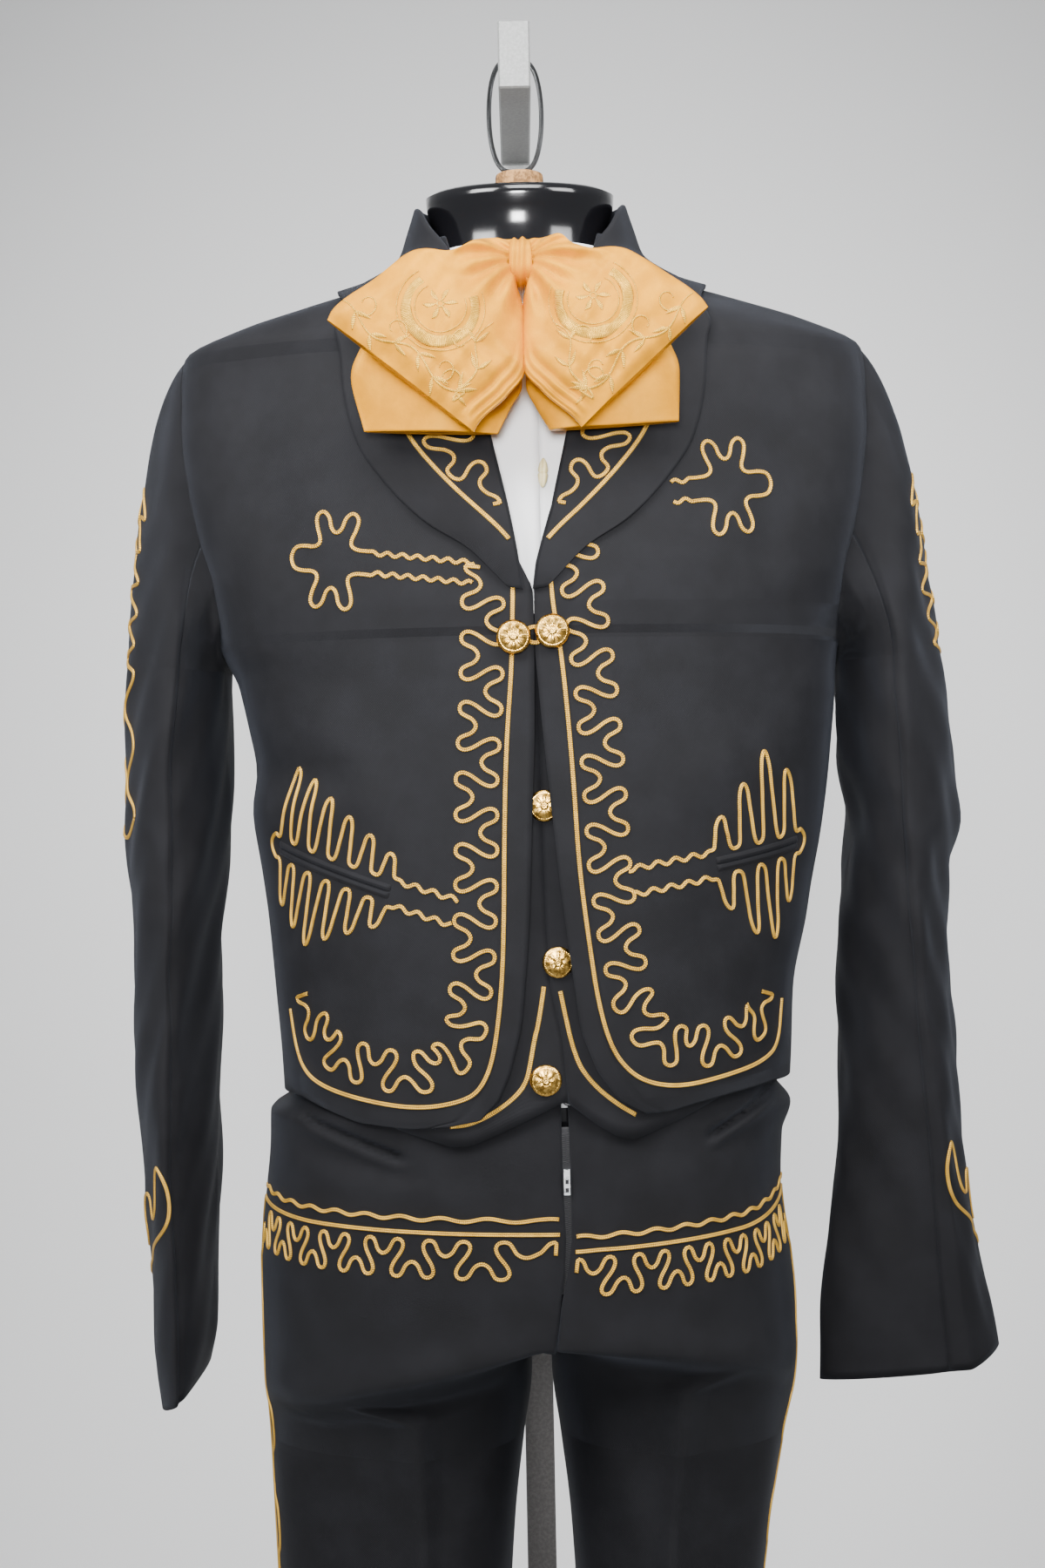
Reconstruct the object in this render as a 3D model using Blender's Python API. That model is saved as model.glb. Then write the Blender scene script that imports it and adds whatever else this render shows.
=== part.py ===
# Charro suit (jacket, vest, trousers, shirt and bow) on a black torso form that hangs from a pole stand.
# Metres, +Z up, the wearer faces -Y, the wearer's left is +X.
import bpy
import bmesh
import math
import numpy as np
from mathutils import Matrix, Vector
from mathutils.bvhtree import BVHTree

for old in list(bpy.data.objects):
    bpy.data.objects.remove(old, do_unlink=True)

# ---------------------------------------------------------------- sizes
WOOL = 0.0016          # wall of the jacket and trouser cloth
VEST_WOOL = 0.0015
COTTON = 0.0012
SEAM = 0.00025         # each panel stops this far short of its seam line
BRAID_WIDE = 0.0030    # soutache braid
BRAID_HIGH = 0.0012
BRAID_LIFT = 0.00055   # clear of the cloth under it
LINE_WIDE = 0.0042     # doubled edge braid
BUTTON_D = 0.021
VEST_BUTTON_D = 0.0195
SHOULDER_Z = 1.468
ARMPIT_Z = 1.275
CROTCH_Z = 0.830
HEM_Z = 0.022
NECK_TOP_Z = 1.573
CORK_R = 0.0165
CORK_HIGH = 0.0175

# Jacket, outer surface, ring by ring: half widths to the wearer's right and left, depths, squareness
JACKET = (
    # z      right   left    front   back    square
    (0.955, 0.1655, 0.1660, 0.1275, 0.1120, 2.4),
    (0.975, 0.1660, 0.1665, 0.1280, 0.1120, 2.4),
    (1.010, 0.1675, 0.1685, 0.1300, 0.1120, 2.4),
    (1.050, 0.1705, 0.1705, 0.1315, 0.1122, 2.4),
    (1.100, 0.1745, 0.1815, 0.1340, 0.1130, 2.4),
    (1.150, 0.1800, 0.1905, 0.1360, 0.1150, 2.4),
    (1.200, 0.1820, 0.1970, 0.1375, 0.1180, 2.4),
    (1.250, 0.1880, 0.2000, 0.1375, 0.1220, 2.4),
    (1.275, 0.2000, 0.2045, 0.1365, 0.1245, 2.4),
    (1.320, 0.2175, 0.2185, 0.1335, 0.1265, 2.4),
    (1.370, 0.2285, 0.2285, 0.1255, 0.1270, 2.4),
    (1.410, 0.2310, 0.2310, 0.1150, 0.1250, 2.4),
    (1.440, 0.2290, 0.2290, 0.1035, 0.1190, 2.4),
    (1.468, 0.2240, 0.2240, 0.0920, 0.1100, 2.4),
    (1.484, 0.1920, 0.1920, 0.0860, 0.1020, 2.4),
    (1.497, 0.1500, 0.1500, 0.0800, 0.0920, 2.4),
    (1.510, 0.1070, 0.1070, 0.0740, 0.0820, 2.4),
    (1.530, 0.0785, 0.0785, 0.0670, 0.0725, 2.3),
    (1.548, 0.0720, 0.0720, 0.0640, 0.0680, 2.2),
    (1.575, 0.0635, 0.0635, 0.0620, 0.0655, 2.1),
)

# Torso form, ring by ring
FORM = (
    # z      right   left    front   back    square
    (0.868, 0.1400, 0.1400, 0.0950, 0.0900, 2.4),
    (0.885, 0.1510, 0.1460, 0.1060, 0.1000, 2.4),
    (0.980, 0.1490, 0.1480, 0.1090, 0.0930, 2.4),
    (1.050, 0.1490, 0.1490, 0.1125, 0.0915, 2.4),
    (1.200, 0.1680, 0.1750, 0.1240, 0.1050, 2.4),
    (1.280, 0.1860, 0.1880, 0.1245, 0.1120, 2.4),
    (1.340, 0.2030, 0.2030, 0.1185, 0.1160, 2.4),
    (1.400, 0.2120, 0.2120, 0.1065, 0.1150, 2.4),
    (1.435, 0.2120, 0.2120, 0.0945, 0.1090, 2.4),
    (1.458, 0.2020, 0.2020, 0.0850, 0.1010, 2.4),
    (1.474, 0.1760, 0.1760, 0.0790, 0.0930, 2.4),
    (1.487, 0.1360, 0.1360, 0.0725, 0.0835, 2.4),
    (1.500, 0.0980, 0.0980, 0.0655, 0.0730, 2.4),
    (1.509, 0.0815, 0.0815, 0.0618, 0.0675, 2.3),
    (1.520, 0.0680, 0.0680, 0.0585, 0.0625, 2.2),
    (1.534, 0.0610, 0.0610, 0.0565, 0.0590, 2.0),
    (1.547, 0.0602, 0.0602, 0.0560, 0.0585, 2.0),
    (1.560, 0.0628, 0.0628, 0.0590, 0.0615, 2.0),
    (1.568, 0.0648, 0.0648, 0.0615, 0.0640, 2.0),
    (1.573, 0.0625, 0.0625, 0.0590, 0.0615, 2.0),
)

# Trousers round the hips, outer surface; the sides roll out just under the jacket hem
HIPS = (
    # z      right   left    front   back    square
    (0.740, 0.1800, 0.1570, 0.1000, 0.1050, 2.4),
    (0.800, 0.1825, 0.1675, 0.1150, 0.1120, 2.4),
    (0.840, 0.1835, 0.1680, 0.1220, 0.1150, 2.4),
    (0.880, 0.1835, 0.1650, 0.1228, 0.1150, 2.4),
    (0.920, 0.1800, 0.1600, 0.1220, 0.1130, 2.4),
    (0.955, 0.1765, 0.1615, 0.1205, 0.1065, 2.4),
    (0.974, 0.1760, 0.1675, 0.1195, 0.1035, 2.4),
    (0.988, 0.1585, 0.1585, 0.1185, 0.1012, 2.4),
    (1.004, 0.1572, 0.1572, 0.1185, 0.1000, 2.4),
    (1.034, 0.1568, 0.1568, 0.1198, 0.0985, 2.4),
)

# One leg, outer surface: how far out from the middle its inseam, crease and side seam hang
LEG_LEFT = (
    # z      inseam  crease  side    front    back
    (0.022, 0.0300, 0.0780, 0.1280, -0.0640, 0.0680),
    (0.200, 0.0280, 0.0770, 0.1290, -0.0660, 0.0700),
    (0.400, 0.0260, 0.0760, 0.1320, -0.0700, 0.0740),
    (0.600, 0.0220, 0.0770, 0.1380, -0.0740, 0.0800),
    (0.700, 0.0175, 0.0800, 0.1490, -0.0780, 0.0840),
    (0.756, 0.0115, 0.0860, 0.1590, -0.0830, 0.0890),
    (0.800, 0.0065, 0.0890, 0.1675, -0.0900, 0.0940),
    (0.880, 0.0060, 0.0900, 0.1680, -0.1000, 0.1000),
)
LEG_RIGHT = (
    # z      inseam  crease  side    front    back
    (0.022, 0.0380, 0.0910, 0.1580, -0.0640, 0.0680),
    (0.200, 0.0360, 0.0880, 0.1600, -0.0660, 0.0700),
    (0.400, 0.0320, 0.0840, 0.1660, -0.0700, 0.0740),
    (0.600, 0.0260, 0.0780, 0.1740, -0.0760, 0.0800),
    (0.700, 0.0195, 0.0770, 0.1780, -0.0800, 0.0840),
    (0.756, 0.0125, 0.0780, 0.1800, -0.0850, 0.0890),
    (0.800, 0.0065, 0.0790, 0.1825, -0.0920, 0.0940),
    (0.880, 0.0060, 0.0800, 0.1835, -0.1000, 0.1000),
)

# One sleeve below the armpit, hanging empty: its inner side, front fold and outer side, its depths,
# and how much lower the outer side of that ring hangs
SLEEVE_LEFT = (
    # z      inner   fold    outer   front    back    drop
    (0.797, 0.1845, 0.2800, 0.3040, -0.0300, 0.0260, -0.0110),
    (0.830, 0.1850, 0.2760, 0.2985, -0.0330, 0.0290, -0.0080),
    (0.868, 0.1890, 0.2710, 0.2905, -0.0370, 0.0350, -0.0040),
    (0.910, 0.1960, 0.2660, 0.2850, -0.0420, 0.0420, 0.0000),
    (0.960, 0.2010, 0.2600, 0.2815, -0.0480, 0.0500, 0.0000),
    (1.020, 0.2030, 0.2520, 0.2785, -0.0560, 0.0570, 0.0000),
    (1.085, 0.2028, 0.2470, 0.2755, -0.0620, 0.0640, 0.0000),
    (1.123, 0.2060, 0.2430, 0.2745, -0.0650, 0.0680, 0.0000),
    (1.160, 0.2110, 0.2390, 0.2825, -0.0690, 0.0720, 0.0000),
    (1.205, 0.2055, 0.2390, 0.2812, -0.0720, 0.0770, 0.0000),
    (1.262, 0.2045, 0.2350, 0.2740, -0.0745, 0.0830, 0.0000),
)
SLEEVE_RIGHT = (
    # z      inner   fold    outer   front    back    drop
    (0.790, 0.2225, 0.2345, 0.2525, -0.0560, 0.0560, 0.0120),
    (0.825, 0.2165, 0.2350, 0.2575, -0.0570, 0.0580, 0.0060),
    (0.875, 0.2155, 0.2350, 0.2570, -0.0590, 0.0610, 0.0000),
    (0.910, 0.2145, 0.2365, 0.2608, -0.0600, 0.0620, 0.0000),
    (0.960, 0.2130, 0.2385, 0.2635, -0.0620, 0.0640, 0.0000),
    (1.030, 0.2090, 0.2360, 0.2655, -0.0650, 0.0670, 0.0000),
    (1.083, 0.2105, 0.2345, 0.2675, -0.0670, 0.0690, 0.0000),
    (1.140, 0.2030, 0.2325, 0.2680, -0.0690, 0.0720, 0.0000),
    (1.190, 0.2003, 0.2315, 0.2680, -0.0710, 0.0750, 0.0000),
    (1.225, 0.2003, 0.2290, 0.2688, -0.0730, 0.0780, 0.0000),
    (1.262, 0.2015, 0.2240, 0.2678, -0.0745, 0.0830, 0.0000),
)

# Armhole seam from the shoulder point to the armpit: turn from the side line, in degrees
ARMHOLE = (
    # z      front   back
    (1.468, 0.0, 0.0),
    (1.458, 9.0, 8.0),
    (1.431, 14.5, 13.0),
    (1.395, 17.5, 16.0),
    (1.355, 21.0, 19.0),
    (1.320, 23.0, 20.0),
    (1.295, 19.0, 17.0),
    (1.281, 10.5, 10.0),
    (1.275, 0.0, 0.0),
)

# Jacket front edge and the sweep of the hem, by height
EDGE_LEFT = (
    # z      x
    (0.9820, 0.0660),
    (0.9907, 0.0503),
    (1.0078, 0.0375),
    (1.0330, 0.0274),
    (1.0752, 0.0219),
    (1.1230, 0.0160),
    (1.1620, 0.0124),
    (1.2127, 0.0076),
    (1.2635, 0.0036),
    (1.3010, 0.0036),
)
EDGE_RIGHT = (
    # z      x
    (0.9760, -0.0560),
    (0.9800, -0.0354),
    (0.9921, -0.0236),
    (1.0089, -0.0164),
    (1.0372, -0.0090),
    (1.0757, -0.0051),
    (1.1021, -0.0030),
    (1.1622, -0.0002),
    (1.2128, 0.0022),
    (1.2598, 0.0030),
    (1.3010, 0.0030),
)
# Jacket neck opening above the buttons: how far out from the middle the roll line lies
ROLL = (
    # z      turn from the side line
    (1.301, 89.75),
    (1.340, 88.9),
    (1.400, 86.5),
    (1.450, 84.3),
    (1.490, 79.4),
    (1.520, 63.0),
    (1.548, 46.0),
)
# Shawl collar, from its tip at the button to the middle of the back
SHAWL = (
    # inner z, turn;  outer z, turn
    (1.3030, 89.6, 1.3045, 88.2),
    (1.3280, 89.1, 1.3280, 83.6),
    (1.3560, 88.3, 1.3457, 77.6),
    (1.3850, 87.2, 1.3700, 72.0),
    (1.4120, 86.1, 1.3956, 67.7),
    (1.4400, 84.8, 1.4280, 65.2),
    (1.4680, 82.5, 1.4620, 63.5),
    (1.4950, 77.5, 1.4870, 56.0),
    (1.5200, 63.0, 1.4990, 38.0),
    (1.5420, 42.0, 1.5050, 18.0),
    (1.5600, 20.0, 1.5065, 4.0),
    (1.5660, 0.0, 1.5090, -12.0),
    (1.5690, -20.0, 1.5120, -27.0),
    (1.5700, -40.0, 1.5160, -43.0),
    (1.5700, -57.0, 1.5190, -58.0),
    (1.5700, -73.0, 1.5210, -74.0),
    (1.5700, -89.93, 1.5220, -89.93),
)
# Broad folds pressed into the jacket fronts and back (height is out of the cloth)
FOLDS = (
    # face   x0      z0     x1      z1     wide    high
    (1, -0.196, 1.262, -0.120, 1.210, 0.026, 0.0030),
    (1, -0.186, 1.168, -0.110, 1.176, 0.022, 0.0030),
    (1, -0.178, 1.198, -0.120, 1.190, 0.014, -0.0026),
    (1, 0.185, 1.240, 0.115, 1.185, 0.026, 0.0026),
    (1, 0.170, 1.120, 0.110, 1.090, 0.024, -0.0022),
    (1, -0.150, 1.330, -0.175, 1.440, 0.022, -0.0024),
    (1, 0.150, 1.330, 0.175, 1.440, 0.022, -0.0024),
    (-1, -0.140, 1.200, -0.030, 1.120, 0.030, 0.0030),
    (-1, 0.140, 1.200, 0.030, 1.120, 0.030, 0.0030),
    (-1, 0.000, 1.060, 0.000, 1.250, 0.030, -0.0030),
)

GOLD = (0.66, 0.43, 0.09)
BLACK = (0.012, 0.013, 0.018)
suit = bpy.data.collections.new("charro_suit")
bpy.context.scene.collection.children.link(suit)
SKIN = {}


# ---------------------------------------------------------------- making solids
def table_at(table, z):
    """Every other column of a table at height z, run smoothly through its rows."""
    rows = np.array(sorted(table), dtype=float)
    zs = rows[:, 0]
    z = min(max(z, zs[0]), zs[-1])
    i = int(min(max(np.searchsorted(zs, z) - 1, 0), len(zs) - 2))
    h = zs[i + 1] - zs[i]
    slope = (rows[i + 1, 1:] - rows[i, 1:]) / h
    before = slope
    after = slope
    if i > 0:
        before = (rows[i, 1:] - rows[i - 1, 1:]) / (zs[i] - zs[i - 1])
    if i < len(zs) - 2:
        after = (rows[i + 2, 1:] - rows[i + 1, 1:]) / (zs[i + 2] - zs[i + 1])
    m0 = np.where(before * slope > 0, 2 * before * slope / (before + slope + 1e-12), 0.0)
    m1 = np.where(after * slope > 0, 2 * after * slope / (after + slope + 1e-12), 0.0)
    t = (z - zs[i]) / h
    a = rows[i, 1:] * (2 * t**3 - 3 * t**2 + 1) + rows[i + 1, 1:] * (3 * t**2 - 2 * t**3)
    return a + h * (m0 * (t**3 - 2 * t**2 + t) + m1 * (t**3 - t**2))


def ring(table, turn, z):
    """A point of a ring: turn 0 is the wearer's left side, 90 the front, 180 the right side."""
    right, left, front, back, square = table_at(table, z)
    c = math.cos(math.radians(turn))
    s = math.sin(math.radians(turn))
    x = (left if c >= 0 else -right) * abs(c) ** (2 / square)
    y = (-front if s >= 0 else back) * abs(s) ** (2 / square)
    return Vector((x, y, z))


def turn_of(table, x, z):
    """The turn at which the front of a ring passes x."""
    right, left, front, back, square = table_at(table, z)
    reach = min(abs(x) / (left if x >= 0 else right), 1.0)
    turn = math.degrees(math.acos(reach ** (square / 2)))
    return turn if x >= 0 else 180 - turn


def crease(point):
    """How far the jacket's broad folds push this point out."""
    out = 0.0
    for face, x0, z0, x1, z1, wide, high in FOLDS:
        if face * point.y > 0:
            continue
        along = Vector((x1 - x0, z1 - z0))
        rel = Vector((point.x - x0, point.z - z0))
        t = min(max(rel.dot(along) / along.length_squared, 0.0), 1.0)
        far = (rel - along * t).length / wide
        out += high * math.exp(-far * far) * min(1.0, abs(point.y) / 0.03)
    return out


def ring_out(table, turn, z, out):
    """A ring's point moved out by a distance, square to the cloth."""
    here = ring(table, turn, z)
    side = ring(table, turn + 0.4, z) - ring(table, turn - 0.4, z)
    up = ring(table, turn, min(z + 0.002, table[-1][0])) - ring(table, turn, z - 0.002)
    square = up.cross(side).normalized()
    if table is JACKET:
        out += crease(here)
    return here + square * out


def paint(obj, colour, rough=0.8, metal=0.0):
    mat = bpy.data.materials.new(obj.name)
    mat.use_nodes = True
    shader = mat.node_tree.nodes["Principled BSDF"]
    shader.inputs["Base Color"].default_value = (*colour, 1.0)
    shader.inputs["Roughness"].default_value = rough
    shader.inputs["Metallic"].default_value = metal
    obj.data.materials.append(mat)


def solid(name, verts, faces, colour, rough=0.8, metal=0.0):
    """One closed body from its points and faces."""
    mesh = bpy.data.meshes.new(name)
    mesh.from_pydata([tuple(v) for v in verts], [], faces)
    bm = bmesh.new()
    bm.from_mesh(mesh)
    bmesh.ops.triangulate(bm, faces=bm.faces[:], quad_method="SHORT_EDGE")
    bmesh.ops.recalc_face_normals(bm, faces=bm.faces[:])
    SKIN[name] = BVHTree.FromBMesh(bm)
    bm.to_mesh(mesh)
    bm.free()
    obj = bpy.data.objects.new(name, mesh)
    suit.objects.link(obj)
    paint(obj, colour, rough, metal)
    return obj


def shell(name, place, us, vs, wall, colour, rough=0.8, inward=-1, seam=SEAM):
    """A cloth panel: place(u, v) is its outer face, the wall goes in from there.
    The panel stops a seam's width short on all four sides."""
    e = 1e-3
    top = []
    low = []
    for v in vs:
        for u in us:
            p = place(u, v)
            du = place(u + e, v) - place(u - e, v)
            dv = place(u, min(v + e, 1.0)) - place(u, max(v - e, 0.0))
            top.append(p)
            low.append(p + du.cross(dv).normalized() * (inward * wall))
    m = len(us)
    n = len(vs)
    for grid in (top, low):
        old = [p.copy() for p in grid]
        for j in range(n):
            a = j * m
            b = a + m - 1
            grid[a] = grid[a] + (old[a + 1] - old[a]).normalized() * seam
            grid[b] = grid[b] + (old[b - 1] - old[b]).normalized() * seam
        for i in range(m):
            a = i
            b = (n - 1) * m + i
            grid[a] = grid[a] + (old[a + m] - old[a]).normalized() * seam
            grid[b] = grid[b] + (old[b - m] - old[b]).normalized() * seam
    k = m * n
    faces = []
    for j in range(n - 1):
        for i in range(m - 1):
            a = j * m + i
            faces.append((a, a + 1, a + m + 1, a + m))
            faces.append((k + a + m, k + a + m + 1, k + a + 1, k + a))
    rim = [i for i in range(m)]
    rim += [j * m + m - 1 for j in range(1, n)]
    rim += [(n - 1) * m + i for i in range(m - 2, -1, -1)]
    rim += [j * m for j in range(n - 2, 0, -1)]
    for i in range(len(rim)):
        a = rim[i]
        b = rim[(i + 1) % len(rim)]
        faces.append((b, a, k + a, k + b))
    return solid(name, top + low, faces, colour, rough)


def steps(count):
    return [i / count for i in range(count + 1)]


def blocks(name, xs, ys, zs, filled, colour, rough=0.5, metal=0.0, bevel=0.0):
    """One body made of boxes: filled cells of a rectangular grid."""
    full = set(filled)
    verts = {}
    faces = []
    sides = (
        ((-1, 0, 0), ((0, 0, 0), (0, 0, 1), (0, 1, 1), (0, 1, 0))),
        ((1, 0, 0), ((1, 0, 0), (1, 1, 0), (1, 1, 1), (1, 0, 1))),
        ((0, -1, 0), ((0, 0, 0), (1, 0, 0), (1, 0, 1), (0, 0, 1))),
        ((0, 1, 0), ((0, 1, 0), (0, 1, 1), (1, 1, 1), (1, 1, 0))),
        ((0, 0, -1), ((0, 0, 0), (0, 1, 0), (1, 1, 0), (1, 0, 0))),
        ((0, 0, 1), ((0, 0, 1), (1, 0, 1), (1, 1, 1), (0, 1, 1))),
    )
    for cell in sorted(full):
        for step, corners in sides:
            if tuple(a + b for a, b in zip(cell, step)) in full:
                continue
            face = []
            for corner in corners:
                key = tuple(a + b for a, b in zip(cell, corner))
                face.append(verts.setdefault(key, len(verts)))
            faces.append(face)
    points = [Vector((xs[i], ys[j], zs[k])) for i, j, k in verts]
    mesh = bpy.data.meshes.new(name)
    mesh.from_pydata([tuple(p) for p in points], [], faces)
    bm = bmesh.new()
    bm.from_mesh(mesh)
    bmesh.ops.recalc_face_normals(bm, faces=bm.faces[:])
    bmesh.ops.dissolve_limit(bm, angle_limit=0.01, verts=bm.verts[:], edges=bm.edges[:])
    if bevel:
        bmesh.ops.bevel(bm, geom=bm.edges[:], offset=bevel, segments=1, affect="EDGES", profile=0.5)
    bmesh.ops.triangulate(bm, faces=bm.faces[:])
    bm.to_mesh(mesh)
    bm.free()
    obj = bpy.data.objects.new(name, mesh)
    suit.objects.link(obj)
    paint(obj, colour, rough, metal)
    return obj


def turned(name, profile, count, centre, axis, colour, rough=0.4, metal=0.0):
    """A round piece: profile rows are radius and height along the axis, ends on the axis."""
    axis = axis.normalized()
    side = axis.cross(Vector((0.0, 0.0, 1.0)))
    if side.length < 0.1:
        side = Vector((1.0, 0.0, 0.0))
    side.normalize()
    over = axis.cross(side)
    verts = []
    faces = []
    for radius, high in profile[1:-1]:
        for i in range(count):
            a = 2 * math.pi * i / count
            verts.append(centre + axis * high + (side * math.cos(a) + over * math.sin(a)) * radius)
    for j in range(len(profile) - 3):
        for i in range(count):
            a = j * count + i
            b = j * count + (i + 1) % count
            faces.append((a, b, b + count, a + count))
    low = len(verts)
    verts.append(centre + axis * profile[0][1])
    verts.append(centre + axis * profile[-1][1])
    last = (len(profile) - 3) * count
    for i in range(count):
        faces.append((low, (i + 1) % count, i))
        faces.append((low + 1, last + i, last + (i + 1) % count))
    return solid(name, verts, faces, colour, rough, metal)


def braid(name, hits, wide, high, colour=GOLD, lift=BRAID_LIFT, loop=False):
    """A cord sewn along points of the cloth: a low ridge, flat underneath, kept clear of the cloth."""
    count = len(hits)
    verts = []
    for i in range(count):
        p, n = hits[i]
        a = hits[(i - 1) % count] if loop or i > 0 else hits[i]
        b = hits[(i + 1) % count] if loop or i < count - 1 else hits[i]
        n = (a[1] + n + b[1]).normalized()
        along = ((p - a[0]).normalized() + (b[0] - p).normalized()).normalized()
        side = n.cross(along).normalized() * (wide / 2)
        for out, rise in ((side, lift), (-side, lift), (Vector((0.0, 0.0, 0.0)), lift + high)):
            corner = p + out
            for cloth in SKIN.values():
                if cloth.find_nearest(p, 0.0008)[0] is None:
                    continue
                spot = cloth.ray_cast(p + out + n * 0.006, -n, 0.012)[0]
                if spot is not None:
                    corner = spot
            verts.append(corner + n * rise)
    faces = []
    for i in range(count if loop else count - 1):
        a = 3 * i
        b = 3 * ((i + 1) % count)
        for j in range(3):
            k = (j + 1) % 3
            faces.append((a + j, a + k, b + k, b + j))
    if not loop:
        faces.append((2, 1, 0))
        e = 3 * (count - 1)
        faces.append((e, e + 1, e + 2))
    return solid(name, verts, faces, colour, 0.45, 0.6)


# ---------------------------------------------------------------- laying trims on the cloth
def girth(table, x, z):
    """Distance round a ring's front from its middle to x."""
    end = turn_of(table, x, z)
    count = 40
    far = 0.0
    last = ring(table, 90.0, z)
    for i in range(1, count + 1):
        here = ring(table, 90 + (end - 90) * i / count, z)
        far += (here - last).length
        last = here
    return far if x >= 0 else -far


def turn_at(table, far, z):
    """The turn that lies this far round a ring from its front middle."""
    sign = -1 if far >= 0 else 1
    turns = [90 + sign * 135 * i / 90 for i in range(91)]
    points = [ring(table, t, z) for t in turns]
    run = [0.0]
    for a, b in zip(points, points[1:]):
        run.append(run[-1] + (b - a).length)
    return float(np.interp(abs(far), run, turns))


def land(table, names, far, z, lift=0.0):
    """Where a trim meets the panel itself, and the cloth's own direction there."""
    turn = turn_at(table, far, z)
    here = ring_out(table, turn, z, 0.03)
    inward = ring_out(table, turn, z, 0.0) - here
    best = None
    for name in names:
        spot, normal, index, dist = SKIN[name].ray_cast(here, inward.normalized(), 0.08)
        if spot is not None and (best is None or dist < best[2]):
            best = (spot + normal * lift, normal, dist)
    if best is None:
        raise ValueError("no cloth under a trim at %.4f %.4f of %s" % (far, z, names))
    return best[0], best[1]


def follow(guide, gap):
    """A polyline cut into even steps."""
    points = [Vector(p) for p in guide]
    run = [0.0]
    for a, b in zip(points, points[1:]):
        run.append(run[-1] + (b - a).length)
    count = max(1, round(run[-1] / gap))
    out = []
    for i in range(count + 1):
        s = run[-1] * i / count
        k = int(min(max(np.searchsorted(run, s) - 1, 0), len(points) - 2))
        t = (s - run[k]) / (run[k + 1] - run[k])
        out.append(points[k].lerp(points[k + 1], t))
    return out


def meander(guide, period, swing, curl, parts, side=1):
    """Rounded loops to and fro across a guide line."""
    fine = follow(guide, 0.002)
    length = sum((b - a).length for a, b in zip(fine, fine[1:]))
    loops = max(1, round(length / period))
    out = []
    for i in range(loops * parts + 1):
        phi = 2 * math.pi * i / parts
        s = (i / parts + curl * math.sin(2 * phi)) / loops
        k = min(max(s, 0.0), 1.0) * (len(fine) - 1)
        j = int(min(k, len(fine) - 2))
        p = fine[j].lerp(fine[j + 1], k - j)
        a = fine[max(j - 4, 0)]
        b = fine[min(j + 5, len(fine) - 1)]
        along = (b - a).normalized()
        over = Vector((-along.y, along.x))
        out.append(p + over * (side * swing * math.cos(phi)))
    return out


def land_on(place, names, u, v, lift=0.0):
    """The same for a panel given by its own shape: where the trim at (u, v) meets the made cloth."""
    e = 2e-3
    p = place(u, v)
    du = place(u + e, v) - place(u - e, v)
    dv = place(u, min(v + e, 1.0)) - place(u, max(v - e, 0.0))
    n = du.cross(dv).normalized()
    for name in names:
        spot, normal, index, dist = SKIN[name].ray_cast(p + n * 0.02, -n, 0.04)
        if spot is not None:
            return spot + normal * lift, normal
    raise ValueError("no cloth under a trim at %.3f %.3f of %s" % (u, v, names))


def rows(zs):
    """Panel height 0..1 to z, knot by knot, and the knots themselves."""
    knots = steps(len(zs) - 1)
    return (lambda v: float(np.interp(v, knots, zs))), knots


def column(table, z, k=1):
    """Straight-line reading of one column of a table, by its first column."""
    ordered = sorted(table)
    return float(np.interp(z, [r[0] for r in ordered], [r[k] for r in ordered]))


# ---------------------------------------------------------------- torso form and its cork cap
form_verts = []
form_count = 16
form_rings = [[ring_out(FORM, 360 * i / form_count, row[0], -0.0018) for i in range(form_count)]
              for row in FORM]
for radius, z in ((CORK_R, NECK_TOP_Z), (CORK_R, NECK_TOP_Z + CORK_HIGH)):
    form_rings.append([Vector((radius * math.cos(math.radians(360 * i / form_count)),
                               -radius * math.sin(math.radians(360 * i / form_count)), z))
                       for i in range(form_count)])
for one in form_rings:
    form_verts += one
form_faces = []
for j in range(len(form_rings) - 1):
    for i in range(form_count):
        a = j * form_count + i
        b = j * form_count + (i + 1) % form_count
        form_faces.append((a, b, b + form_count, a + form_count))
low = len(form_verts)
form_verts.append(Vector((0.0, 0.0, FORM[0][0] - 0.006)))
form_verts.append(Vector((0.0, 0.0, NECK_TOP_Z + CORK_HIGH)))
last = (len(form_rings) - 1) * form_count
for i in range(form_count):
    form_faces.append((low, (i + 1) % form_count, i))
    form_faces.append((low + 1, last + i, last + (i + 1) % form_count))
solid("torso_form", form_verts, form_faces, (0.006, 0.006, 0.007), 0.12)

# ---------------------------------------------------------------- pole stand, arm and cable loop
POLE = 0.0107
pole_x = -0.002
blocks("pole_stand",
       (-0.23, pole_x - 0.0195, pole_x - POLE, pole_x + POLE, pole_x + 0.0195, 0.23),
       (-0.150, -0.012, -0.003, 0.165, 0.1707, 0.1921, 0.200, 0.290),
       (0.0, 0.008, 0.020, 1.645, 1.660, 1.668, 1.690),
       [(i, j, 0) for i in range(5) for j in range(7)]
       + [(i, j, 1) for i in (1, 2, 3) for j in (3, 4, 5) if i == 2 and j in (4,)]
       + [(2, 4, k) for k in (2, 3, 4)]
       + [(2, j, 3) for j in (1, 2, 3)]
       + [(2, 1, 4), (2, 1, 5)],
       (0.42, 0.43, 0.44), 0.45, 0.7, bevel=0.0012)

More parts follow.
